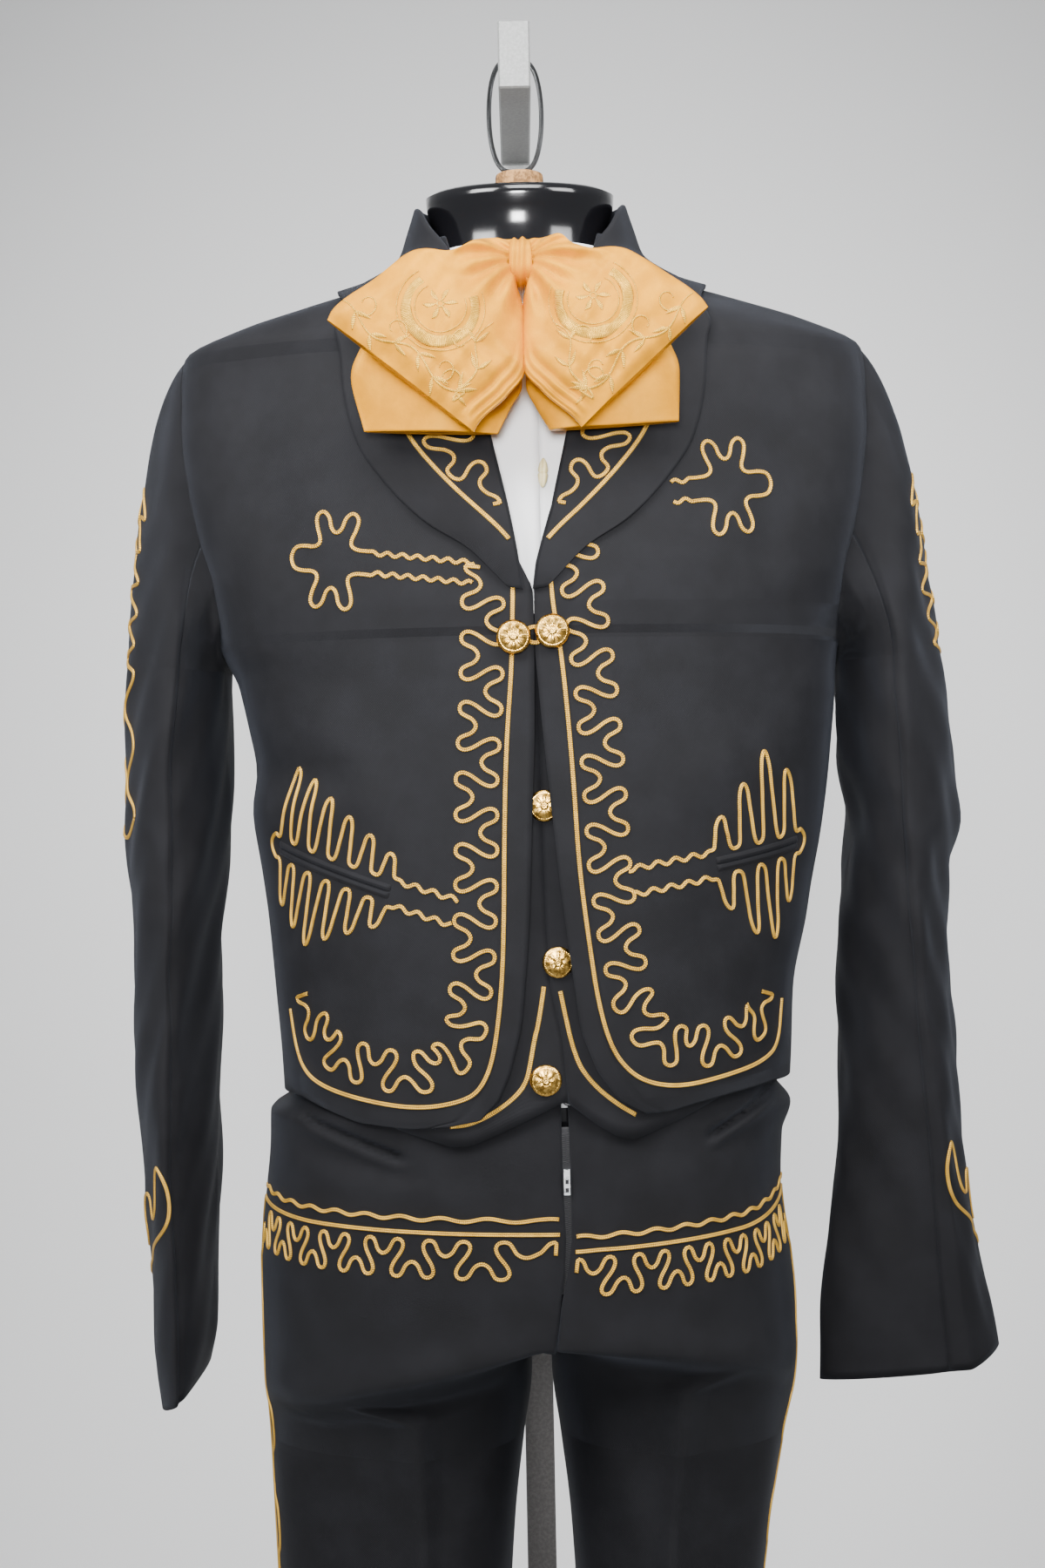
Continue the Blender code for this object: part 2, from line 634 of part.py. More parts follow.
CABLE_R = 0.0016
cable_path = []
CABLE_PARTS = 22
for i in range(CABLE_PARTS):
    a = 2 * math.pi * i / CABLE_PARTS
    high = 0.5 - 0.5 * math.cos(a)
    wide = 0.0175 * math.copysign(abs(math.sin(a)) ** 0.6, math.sin(a))
    cable_path.append(Vector((-0.0020 + wide, 0.0030 * high + 0.0005, 1.5925 + 0.0759 * high)))
cable_verts = []
cable_faces = []
for i in range(CABLE_PARTS):
    along = (cable_path[(i + 1) % CABLE_PARTS] - cable_path[i - 1]).normalized()
    side = along.cross(Vector((0.0, 1.0, 0.0))).normalized()
    over = side.cross(along)
    for j in range(5):
        a = math.pi * j / 2.5
        cable_verts.append(cable_path[i] + (side * math.cos(a) + over * math.sin(a)) * CABLE_R)
        b = (i + 1) % CABLE_PARTS
        k = (j + 1) % 5
        cable_faces.append((i * 5 + j, b * 5 + j, b * 5 + k, i * 5 + k))
solid("cable_loop", cable_verts, cable_faces, (0.10, 0.10, 0.10), 0.5, 0.8)


# ---------------------------------------------------------------- trousers
FLY = (
    # z      middle of the fly opening, half its width
    (0.800, 0.0000, 0.0000),
    (0.840, 0.0090, 0.0000),
    (0.867, 0.0120, 0.0002),
    (0.885, 0.0155, 0.0010),
    (0.905, 0.0175, 0.0018),
    (0.940, 0.0170, 0.0027),
    (0.975, 0.0165, 0.0022),
    (1.034, 0.0155, 0.0010),
)
LEG_ZS = (HEM_Z, 0.26, 0.50, 0.68, 0.76, 0.790, 0.806, 0.820, 0.835, 0.850, 0.866, 0.890,
          0.925, 0.955, 0.974, 0.988, 1.0029)
LEG_COLUMNS = (0.0, 0.18, 0.36, 0.54, 0.72, 0.87, 1.0)
leg_z, leg_knots = rows(LEG_ZS)


def trouser(side, face):
    """Outer face of one trouser panel; side +1 is the wearer's left, face +1 is the front.
    It follows the hip ring above and the leg's own half round below the seat."""
    leg = LEG_LEFT if side > 0 else LEG_RIGHT

    def place(u, v):
        z = leg_z(v)
        q = u if side * face > 0 else 1 - u
        if face > 0:
            inner = turn_of(HIPS, column(FLY, z, 1) + side * column(FLY, z, 2), z)
            outer = 0.0 if side > 0 else 180.0
        else:
            inner = -90.0
            outer = 0.0 if side > 0 else -180.0
        hip = ring(HIPS, inner + (outer - inner) * q, z)
        inseam, fold, out, front, back = table_at(leg, z)
        psi = math.pi * (1 - q)
        c = math.cos(psi)
        s = math.sin(psi)
        x = fold + (out - fold) * c if c > 0 else fold + (fold - inseam) * c
        edge = front if face > 0 else back
        y = edge * math.copysign(abs(s) ** 0.9, s) * (1 - 0.10 * abs(c * s))
        low = Vector((side * x, y, z))
        sag = CROTCH_Z - 0.042 * min(abs(hip.x) / 0.16, 1.0)
        t = min(max((sag + 0.020 - z) / 0.046, 0.0), 1.0)
        w = t * t * (3 - 2 * t)
        return hip.lerp(low, w)
    return place


TROUSER = {}
for word, side in (("left", 1), ("right", -1)):
    for part, face in (("front", 1), ("back", -1)):
        name = "trouser_%s_%s" % (part, word)
        TROUSER[name] = trouser(side, face)
        columns = LEG_COLUMNS if side * face > 0 else [1 - c for c in LEG_COLUMNS[::-1]]
        shell(name, TROUSER[name], columns, leg_knots, WOOL, BLACK)

band_z, band_knots = rows((1.0030, 1.034))


def waistband(u, v):
    z = band_z(v)
    start = turn_of(HIPS, column(FLY, z, 1) + column(FLY, z, 2), z)
    end = turn_of(HIPS, column(FLY, z, 1) - column(FLY, z, 2), z) - 360
    return ring(HIPS, start + (end - start) * u, z)


shell("trouser_waistband", waistband, steps(20), band_knots, WOOL, BLACK)

tape_z, tape_knots = rows((0.872, 0.890, 0.940, 0.974))


def zip_tape(u, v):
    z = tape_z(v)
    return ring_out(HIPS, turn_of(HIPS, column(FLY, z, 1) + (u - 0.5) * 0.013, z), z, -WOOL - 0.0006)


shell("zip_tape", zip_tape, steps(2), tape_knots, 0.0008, (0.02, 0.02, 0.022), seam=0.0)

ZIP_X = 0.0170
ZIP_Y = -0.1193
ZIP_Z = 0.9435
STEEL = (0.62, 0.63, 0.65)
slider_xs = [ZIP_X + d for d in (-0.0019, -0.0006, 0.0006, 0.0019)]
slider_ys = [ZIP_Y - d for d in (0.0038, 0.0032, 0.0018, 0.0)]
slider_zs = [ZIP_Z + d for d in (-0.0010, 0.0, 0.0040, 0.0050)]
blocks("zip_slider", slider_xs, slider_ys, slider_zs,
       [(i, 2, k) for i in range(3) for k in range(3)] + [(1, 1, 0), (1, 1, 2)]
       + [(1, 0, k) for k in range(3)],
       STEEL, 0.3, 1.0)
pull_xs = [ZIP_X + d for d in (-0.0019, -0.0010, 0.0010, 0.0019)]
pull_ys = [ZIP_Y - 0.0029, ZIP_Y - 0.0021]
pull_zs = [ZIP_Z + d for d in (-0.0105, -0.0090, -0.0062, -0.0038, 0.0004, 0.0012)]
blocks("zip_pull_tab", pull_xs, pull_ys, pull_zs,
       [(i, 0, 0) for i in range(3)] + [(0, 0, 1), (2, 0, 1)] + [(i, 0, 2) for i in range(3)]
       + [(0, 0, 3), (2, 0, 3)] + [(i, 0, 4) for i in range(3)],
       STEEL, 0.3, 1.0)

# ---------------------------------------------------------------- shirt
PLACKET_X = 0.0085
shirt_z, shirt_knots = rows((0.985, 1.050, 1.200, 1.262, 1.290, 1.340, 1.400, 1.435, 1.458, 1.474,
                             1.487, 1.500, 1.511))


def hole(table_low, table_high, z, k, wider):
    """Armhole turn of an inner layer: the jacket's own armhole, scaled to this layer's height."""
    if z <= table_low or z >= table_high:
        return 0.0
    t = (z - table_low) / (table_high - table_low)
    wider *= min(1.0, (z - table_low) / 0.08)
    return column(ARMHOLE, ARMPIT_Z + t * (SHOULDER_Z - ARMPIT_Z), k) * wider


def shirt_front(side):
    def place(u, v):
        z = shirt_z(v)
        seam = turn_of(FORM, PLACKET_X, z)
        open_turn = hole(1.262, 1.460, z, 1, 1.35)
        if side > 0:
            turn = seam + (open_turn - seam) * u
        else:
            turn = 180 - open_turn + (seam - 180 + open_turn) * u
        return ring_out(FORM, turn, z, 0.0020)
    return place


def shirt_back_place(u, v):
    z = shirt_z(v)
    open_turn = hole(1.262, 1.460, z, 2, 1.35)
    return ring_out(FORM, -open_turn - (180 - 2 * open_turn) * u, z, 0.0020)


WHITE = (0.80, 0.81, 0.84)
shell("shirt_front_left", shirt_front(1), steps(4), shirt_knots, COTTON, WHITE)
shell("shirt_front_right", shirt_front(-1), steps(4), shirt_knots, COTTON, WHITE)
shell("shirt_back", shirt_back_place, steps(8), shirt_knots, COTTON, WHITE)
collar_z, collar_knots = rows((1.5135, 1.5210, 1.533))


def shirt_collar(u, v):
    z = collar_z(v)
    start = turn_of(FORM, PLACKET_X, z)
    return ring_out(FORM, start - 359.4 * u, z, 0.0015)


shell("shirt_collar", shirt_collar, steps(18), collar_knots, COTTON, WHITE)

toggle_spot, toggle_square = land(FORM, ["shirt_front_left"], girth(FORM, 0.0128, 1.3745), 1.3745)
toggle_profile = [(0.0, -0.0100), (0.0012, -0.0098), (0.0026, -0.0070), (0.0033, 0.0),
                  (0.0026, 0.0070), (0.0012, 0.0098), (0.0, 0.0100)]
turned("shirt_toggle", toggle_profile, 8, toggle_spot + toggle_square * 0.0038,
       Vector((0.05, 0.26, 1.0)), (0.62, 0.48, 0.26), 0.5)

# ---------------------------------------------------------------- vest
VEST = (
    # z      right   left    front   back    square
    (0.955, 0.1630, 0.1630, 0.1248, 0.1083, 2.4),
    (0.990, 0.1625, 0.1625, 0.1238, 0.1080, 2.4),
    (1.050, 0.1600, 0.1600, 0.1245, 0.1077, 2.4),
    (1.120, 0.1650, 0.1680, 0.1270, 0.1077, 2.4),
    (1.200, 0.1735, 0.1810, 0.1300, 0.1110, 2.4),
    (1.280, 0.1915, 0.1935, 0.1300, 0.1175, 2.4),
    (1.340, 0.2085, 0.2085, 0.1240, 0.1215, 2.4),
    (1.400, 0.2175, 0.2175, 0.1120, 0.1205, 2.4),
    (1.435, 0.2170, 0.2170, 0.0998, 0.1145, 2.4),
    (1.4645, 0.2060, 0.2060, 0.0900, 0.1060, 2.4),
    (1.4800, 0.1795, 0.1795, 0.0838, 0.0980, 2.4),
    (1.4930, 0.1415, 0.1415, 0.0775, 0.0885, 2.4),
    (1.5060, 0.1035, 0.1035, 0.0705, 0.0780, 2.4),
    (1.5230, 0.0755, 0.0755, 0.0640, 0.0680, 2.2),
)
VEST_EDGE = (
    # z      x of the lapped front
    (0.955, 0.0195),
    (0.993, 0.0187),
    (1.030, 0.0157),
    (1.062, 0.0090),
    (1.100, 0.0070),
    (1.200, 0.0050),
    (1.290, 0.0040),
)
VEST_HEM = (
    # x      z of the pointed hem
    (-0.170, 0.9980),
    (-0.120, 0.9890),
    (-0.085, 0.9730),
    (-0.050, 0.9625),
    (-0.0375, 0.9654),
    (-0.0107, 0.9770),
    (0.0170, 0.9905),
    (0.0370, 0.9750),
    (0.0503, 0.9669),
    (0.0600, 0.9660),
    (0.0890, 0.9770),
    (0.1167, 0.9896),
    (0.1700, 0.9980),
)
vest_z, vest_knots = rows((0.993, 1.012, 1.062, 1.10, 1.20, 1.262, 1.29, 1.34, 1.40, 1.435, 1.4645,
                           1.480, 1.493, 1.506))
vest_back_z, vest_back_knots = rows((0.993, 1.10, 1.20, 1.262, 1.29, 1.34, 1.40, 1.435, 1.4645, 1.480,
                                     1.493, 1.506))


def vest_neck(z):
    """Turn of the vest's front edge: the lapped front below, the open V above."""
    if z < 1.29:
        return turn_of(VEST, column(VEST_EDGE, z), z)
    return min(turn_of(VEST, 0.0040, z), column(ROLL, z + 0.006) - 4.5 * min((z - 1.29) / 0.05, 1.0))


def vest_front(side):
    def place(u, v):
        z = vest_z(v)
        edge = vest_neck(z)
        open_turn = hole(1.262, 1.4645, z, 1, 1.25)
        if side > 0:
            turn = edge + (open_turn - edge) * u
        else:
            centre = edge if z < 1.29 else 180 - edge
            turn = 180 - open_turn + (centre - 180 + open_turn) * u
        x = ring(VEST, turn, z).x
        drop = (column(VEST_HEM, x) - 0.993) * max(0.0, 1 - (z - 0.993) / 0.08)
        return ring_out(VEST, turn, z + drop, 0.0)
    return place


def vest_back_place(u, v):
    z = vest_back_z(v)
    open_turn = hole(1.262, 1.4645, z, 2, 1.25)
    z += 0.005 * max(0.0, 1 - (z - 0.993) / 0.08)
    return ring_out(VEST, -open_turn - (180 - 2 * open_turn) * u, z, 0.0)


shell("vest_front_left", vest_front(1), steps(6), vest_knots, VEST_WOOL, BLACK)
shell("vest_front_right", vest_front(-1), steps(7), vest_knots, VEST_WOOL, BLACK)
shell("vest_back", vest_back_place, steps(8), vest_back_knots, VEST_WOOL, BLACK)

# ---------------------------------------------------------------- jacket body
HEM_LEFT = (
    # x      z of the jacket hem
    (0.0660, 0.9820),
    (0.0800, 0.9822),
    (0.0973, 0.9863),
    (0.1211, 0.9905),
    (0.1482, 0.9940),
    (0.1700, 0.9930),
)
HEM_RIGHT = (
    (-0.1700, 0.9890),
    (-0.1500, 0.9900),
    (-0.1361, 0.9850),
    (-0.1115, 0.9772),
    (-0.0800, 0.9745),
    (-0.0560, 0.9760),
)
ARMHOLE_ZS = tuple(sorted(row[0] for row in ARMHOLE))
NECK_ZS = (1.486, 1.506, 1.522, 1.538)
left_z, left_knots = rows((0.9820, 0.9907, 1.0078, 1.033, 1.0752, 1.123, 1.170, 1.215, 1.250) + ARMHOLE_ZS
                          + NECK_ZS)
right_z, right_knots = rows((0.9760, 0.9800, 0.9921, 1.0089, 1.0372, 1.0757, 1.120, 1.170, 1.215, 1.250)
                            + ARMHOLE_ZS + NECK_ZS)


def arm_turn(z, k):
    if z <= ARMPIT_Z or z >= SHOULDER_Z:
        return 0.0
    return column(ARMHOLE, z, k)


def jacket_front(side):
    edge_table = EDGE_LEFT if side > 0 else EDGE_RIGHT
    hem_table = HEM_LEFT if side > 0 else HEM_RIGHT
    row_z = left_z if side > 0 else right_z
    foot = row_z(0.0)

    def place(u, v):
        z = row_z(v)
        if z <= 1.301:
            edge = turn_of(JACKET, column(edge_table, z), z)
        else:
            near = turn_of(JACKET, column(edge_table, 1.301), 1.301)
            roll = column(ROLL, z) if side > 0 else 180 - column(ROLL, z)
            mix = min((z - 1.301) / 0.02, 1.0)
            edge = near + (roll - near) * mix
        open_turn = arm_turn(z, 1)
        if side > 0:
            turn = edge + (open_turn - edge) * u
        else:
            turn = 180 - open_turn + (edge - 180 + open_turn) * u
        x = ring(JACKET, turn, z).x
        drop = (column(hem_table, x) - foot) * max(0.0, 1 - (z - foot) / 0.07)
        return ring_out(JACKET, turn, z + drop, 0.0)
    return place


back_z, back_knots = rows((0.988, 1.050, 1.110, 1.170, 1.215, 1.250) + ARMHOLE_ZS + NECK_ZS)


def jacket_back_place(u, v):
    z = back_z(v)
    open_turn = arm_turn(z, 2)
    return ring_out(JACKET, -open_turn - (180 - 2 * open_turn) * u, z, 0.0)


JACKET_FRONT = {"jacket_front_left": jacket_front(1), "jacket_front_right": jacket_front(-1)}
shell("jacket_front_left", JACKET_FRONT["jacket_front_left"], steps(8), left_knots, WOOL, BLACK)
shell("jacket_front_right", JACKET_FRONT["jacket_front_right"], steps(8), right_knots, WOOL, BLACK)
shell("jacket_back", jacket_back_place, steps(10), back_knots, WOOL, BLACK)


def shawl(side):
    """Half of the shawl collar, lying over the front, the shoulder and the back of the neck."""
    def place(u, v):
        k = v * (len(SHAWL) - 1)
        j = int(min(k, len(SHAWL) - 2))
        t = k - j
        inner_z, inner, outer_z, outer = [a + (b - a) * t for a, b in zip(SHAWL[j], SHAWL[j + 1])]
        w = u if side > 0 else 1 - u
        turn = inner + (outer - inner) * w
        z = inner_z + (outer_z - inner_z) * w
        lap = 0.0034 - 0.0010 * max(0.0, 1 - v / 0.12)
        return ring_out(JACKET, turn if side > 0 else 180 - turn, z, lap + 0.0018 * min(max((v - 0.25) / 0.25, 0.0), 1.0))
    return place


shell("shawl_collar_left", shawl(1), steps(3), steps(len(SHAWL) - 1), WOOL, BLACK)
shell("shawl_collar_right", shawl(-1), steps(3), steps(len(SHAWL) - 1), WOOL, BLACK)


# ---------------------------------------------------------------- jacket sleeves
def sleeve_point(side, phi, s):
    """Outer face of a sleeve: phi 0 is its outer side, 90 the front, 180 the inner side;
    s runs from 0 at the cuff through 1 at the armpit ring to 2 at the armhole seam."""
    table = SLEEVE_LEFT if side > 0 else SLEEVE_RIGHT
    phi = phi % 360
    c = math.cos(math.radians(phi))
    sn = math.sin(math.radians(phi))
    low = table[0][0]
    high = table[-1][0]
    z = low + (high - low) * min(s, 1.0)
    inner, fold, outer, front, back, drop = table_at(table, z)
    middle = (front + back) / 2
    x = fold + (outer - fold) * c ** 0.95 if c > 0 else fold - (fold - inner) * (-c) ** 0.95
    y = middle + (front - middle) * sn ** 1.05 if sn > 0 else middle + (back - middle) * (-sn) ** 1.0
    base = Vector((side * x, y, z - drop * c))
    if s <= 1.0:
        return base
    t = s - 1.0
    half = phi if phi <= 180 else 360 - phi
    k = half / 180 * (len(ARMHOLE) - 1)
    j = int(min(k, len(ARMHOLE) - 2))
    row = [a + (b - a) * (k - j) for a, b in zip(ARMHOLE[j], ARMHOLE[j + 1])]
    open_turn = row[1] if phi <= 180 else -row[2]
    top = ring_out(JACKET, open_turn if side > 0 else 180 - open_turn, row[0], 0.0)
    centre = Vector((side * 0.222, 0.004, 1.37))
    top = top + (centre - top).normalized() * 0.0005
    far = (top - base).length
    crown = (1 + c) / 2
    leave = Vector((side * (0.25 + 0.50 * crown), -0.25 * sn, -0.92 + 0.18 * crown)).normalized()
    a = top + leave * far * 0.20
    b = base + Vector((-side * 0.10 * crown, 0.0, 1.0)).normalized() * far * 0.33
    w = 1 - t
    return top * (t**3) + a * (3 * t * t * w) + b * (3 * t * w * w) + base * (w**3)


FRONT_SEAM = 97.5
BACK_SEAM = -112.5
sleeve_rows = [0.0, 0.13, 0.27, 0.41, 0.56, 0.71, 0.86, 1.0, 1.2, 1.4, 1.62, 1.84, 2.0]
SLEEVE = {}


def sleeve_panel(side, a, b):
    """A sleeve piece between two seams."""
    def place(u, v):
        s = float(np.interp(v, steps(len(sleeve_rows) - 1), sleeve_rows))
        w = u if side < 0 else 1 - u
        return sleeve_point(side, a + (b - a) * w, s)
    return place


for word, side in (("left", 1), ("right", -1)):
    SLEEVE["top_sleeve_%s" % word] = sleeve_panel(side, BACK_SEAM, FRONT_SEAM)
    SLEEVE["under_sleeve_%s" % word] = sleeve_panel(side, FRONT_SEAM, 360 + BACK_SEAM)
    shell("top_sleeve_%s" % word, SLEEVE["top_sleeve_%s" % word], steps(8), steps(len(sleeve_rows) - 1), WOOL, BLACK)
    shell("under_sleeve_%s" % word, SLEEVE["under_sleeve_%s" % word], steps(6), steps(len(sleeve_rows) - 1), WOOL, BLACK)

# ---------------------------------------------------------------- jetted pockets of the jacket
POCKETS = (
    # side  inner end x, z      outer end x, z      loops above, highest at, height;  below, lowest at, depth
    (-1, -0.0874, 1.1204, -0.1590, 1.1484, 6, 0.84, 0.046, 6, 0.58, 0.044),
    (1, 0.1122, 1.1333, 0.1680, 1.1450, 4, 0.60, 0.054, 4, 0.50, 0.052),
)


def pocket_frame(row):
    """Pocket mouth in cloth distances: inner end, unit run and unit up, length."""
    side, x0, z0, x1, z1 = row[:5]
    a = Vector((girth(JACKET, x0, z0), z0))
    b = Vector((girth(JACKET, x1, z1), z1))
    run = (b - a).normalized()
    up = Vector((-run.y, run.x)) if run.x > 0 else Vector((run.y, -run.x))
    return a, run, up, (b - a).length


for word, row in (("right", POCKETS[0]), ("left", POCKETS[1])):
    corner, run, up, length = pocket_frame(row)
    front_name = "jacket_front_%s" % word
    lips = ((0.0, 0.0026), (0.28, 0.0033), (0.5, 0.0027), (0.72, 0.0033), (1.0, 0.0026))

    def welt(u, v):
        w = u if row[0] > 0 else 1 - u
        p = corner + run * (length * w) + up * (0.0080 * (v - 0.5))
        return land(JACKET, [front_name], p.x, p.y, float(np.interp(v, [a for a, b in lips],
                                                                    [b for a, b in lips])))[0]

    shell("pocket_welt_%s" % word, welt, steps(5), [a for a, b in lips], 0.0010, BLACK, seam=0.0)

# ---------------------------------------------------------------- buttons
DOME = ((0.0, 0.0), (0.95, 0.0), (1.0, 0.10), (0.84, 0.29), (0.48, 0.43), (0.0, 0.48))


def button(name, spot, square, size, lift, high=0.0040):
    profile = [(r * size / 2, h * high / 0.48) for r, h in DOME]
    turned(name, profile, 10, spot + square * lift, square, (0.83, 0.62, 0.22), 0.25, 1.0)


for word, x, z in (("right", -0.0092, 1.2738), ("left", 0.0141, 1.2770)):
    spot, square = land(JACKET, ["jacket_front_%s" % word], girth(JACKET, x, z), z)
    button("jacket_button_%s" % word, spot, square, BUTTON_D, 0.0025, 0.0050)
link_hits = []
for i in range(12):
    a = 2 * math.pi * (i + 0.5) / 12
    x = 0.0033 + 0.0058 * math.cos(a)
    z = 1.2752 + 0.0048 * math.sin(a)
    word = "left" if x > 0.0033 else "right"
    link_hits.append(land(JACKET, ["jacket_front_%s" % word], girth(JACKET, x, z), z))
braid("button_link", link_hits, 0.0024, 0.0011, loop=True)
for i, (x, z, lift) in enumerate(((0.0073, 1.1716, 0.0007), (0.0140, 1.0759, 0.0007),
                                  (0.0052, 1.0037, 0.0008))):
    spot, square = land(VEST, ["vest_front_left", "vest_front_right"], girth(VEST, x, z), z)
    button("vest_button_%d" % (i + 1), spot, square, VEST_BUTTON_D, lift, 0.0030)

# ---------------------------------------------------------------- gold braid on the jacket
LINE = {
    # edge line: x and z down the front, round the corner and along the hem
    "right": ((-0.0094, 1.296), (-0.0104, 1.260), (-0.0153, 1.2047), (-0.0174, 1.1456), (-0.0184, 1.1023),
              (-0.0206, 1.0591), (-0.0262, 1.0190), (-0.0335, 1.0010), (-0.0437, 0.9925), (-0.0707, 0.9872),
              (-0.1028, 0.9905), (-0.1359, 0.9985), (-0.1480, 1.0080), (-0.1530, 1.0231), (-0.1560, 1.0448)),
    "left": ((0.0152, 1.291), (0.0192, 1.2648), (0.0222, 1.2325), (0.0255, 1.1844), (0.0277, 1.1342),
             (0.0336, 1.0834), (0.0383, 1.0495), (0.0457, 1.0225), (0.0570, 1.0074), (0.0706, 1.0000),
             (0.0899, 0.9975), (0.1160, 1.0018), (0.1421, 1.0078), (0.1540, 1.0168), (0.1569, 1.0454)),
}
BAND = {
    # middle of the looped band inside that line
    "right": ((-0.0275, 1.2960), (-0.0295, 1.2384), (-0.0335, 1.1855), (-0.0345, 1.1325), (-0.0372, 1.0796),
              (-0.0420, 1.0400), (-0.0550, 1.0150), (-0.0760, 1.0085), (-0.1043, 1.0125), (-0.1300, 1.0230),
              (-0.1400, 1.0400), (-0.1430, 1.0560)),
    "left": ((0.0335, 1.3000), (0.0370, 1.2700), (0.0405, 1.2371), (0.0440, 1.1841), (0.0465, 1.1311),
             (0.0520, 1.0886), (0.0590, 1.0530), (0.0720, 1.0290), (0.0920, 1.0195), (0.1185, 1.0240),
             (0.1390, 1.0350), (0.1420, 1.0520)),
}


def on_jacket(word, points):
    """Cloth distances of x, z pairs on a jacket front."""
    return [Vector((girth(JACKET, x, z), z)) for x, z in points]


def lay(word, points, table=JACKET, names=None):
    return [land(table, names or ["jacket_front_%s" % word], p.x, p.y) for p in points]


for word in ("right", "left"):
    line = follow(on_jacket(word, LINE[word]), 0.014)
    braid("edge_line_%s" % word, lay(word, line), LINE_WIDE, BRAID_HIGH)
    band = meander(on_jacket(word, BAND[word]), 0.0395, 0.0118, 0.115, 8, 1 if word == "left" else -1)
    braid("front_loops_%s" % word, lay(word, band), BRAID_WIDE, BRAID_HIGH)

CHEST = (
    # side  centre x, z       inner end x, z     size
    ("right", -0.1187, 1.3243, -0.0440, 1.3160, 1.0),
    ("left", 0.1249, 1.3661, 0.0895, 1.3620, 1.0),
)
for word, x, z, end_x, end_z, size in CHEST:
    mid = Vector((girth(JACKET, x, z), z))
    end = Vector((girth(JACKET, end_x, end_z), end_z))
    run = (end - mid).normalized()
    up = Vector((-run.y, run.x))
    far = (end - mid).length
    near = 0.0255
    waves = max(1, round((far - near) / 0.0120))
    path = []
    for i in range(waves * 3, -1, -1):
        s = near + (far - near) * i / (waves * 3)
        path.append(mid + run * s + up * (0.0075 + 0.0016 * math.cos(2 * math.pi * i / 3)))
    for i in range(31):
        a = math.radians(38 + 284 * i / 30)
        r = 0.0195 + 0.0060 * math.cos(4 * a)
        path.append(mid + run * (r * math.cos(a)) + up * (r * math.sin(a)))
    for i in range(waves * 3 + 1):
        s = near + (far - near) * i / (waves * 3)
        path.append(mid + run * s - up * (0.0075 + 0.0016 * math.cos(2 * math.pi * i / 3)))
    braid("chest_clover_%s" % word, lay(word, path), BRAID_WIDE, BRAID_HIGH)

LOOP = ((0.05, 0.04), (0.15, 0.50), (0.25, 0.96), (0.55, 0.96), (0.65, 0.50), (0.75, 0.04))
for word, row in (("right", POCKETS[0]), ("left", POCKETS[1])):
    corner, run, up, length = pocket_frame(row)
    above, top_at, tall, below, low_at, deep = row[5:]
    reach = length + 0.004
    lead = 0.030 if word == "right" else 0.044
    path = []

    def fan(loops, peak, high, way, order):
        """Tall loops standing on the pocket mouth, highest part way along."""
        out = []
        for i in range(loops):
            for along, rise in LOOP:
                t = (i + along) / loops
                env = 0.010 + (high - 0.010) * max(0.0, 1 - abs(t - peak) / (max(peak, 1 - peak) + 0.05))
                out.append(corner + run * (t * reach) + up * (way * (0.0082 + env * rise)))
        return out if order > 0 else out[::-1]

    for i in range(9):
        s = lead * (1 - i / 9) + 0.004
        path.append(corner - run * s + up * (0.0080 + 0.0018 * math.sin(2 * math.pi * i / 3)))
    path += fan(above, top_at, tall, 1, 1)
    path.append(corner + run * (reach + 0.0050) + up * 0.0030)
    path.append(corner + run * (reach + 0.0050) - up * 0.0030)
    path += fan(below, low_at, deep, -1, -1)
    for i in range(8, -1, -1):
        s = lead * (1 - i / 9) + 0.004
        path.append(corner - run * s - up * (0.0080 + 0.0018 * math.sin(2 * math.pi * i / 3)))
    braid("pocket_fan_%s" % word, lay(word, path), BRAID_WIDE, BRAID_HIGH, lift=0.0014)

# ---------------------------------------------------------------- gold braid on the lapels
for word, side in (("right", -1), ("left", 1)):
    place = shawl(side)
    name = "shawl_collar_%s" % word

    def on_shawl(across, along):
        return land_on(place, [name], across if side > 0 else 1 - across, along)

    hits = []
    for i in range(9):
        hits.append(on_shawl(0.66 - 0.10 * (1 - i / 8), 0.44 - 0.045 * i))
    loops = 3
    for i in range(loops * 8 + 1):
        phi = 2 * math.pi * i / 8
        along = 0.115 + 0.30 * (i / 8 + 0.09 * math.sin(2 * phi)) / loops
        swing = 0.17 * (0.65 + 0.35 * i / (loops * 8))
        hits.append(on_shawl(0.315 - swing * math.cos(phi), along))
    braid("lapel_braid_%s" % word, hits, BRAID_WIDE, BRAID_HIGH, lift=0.0010)

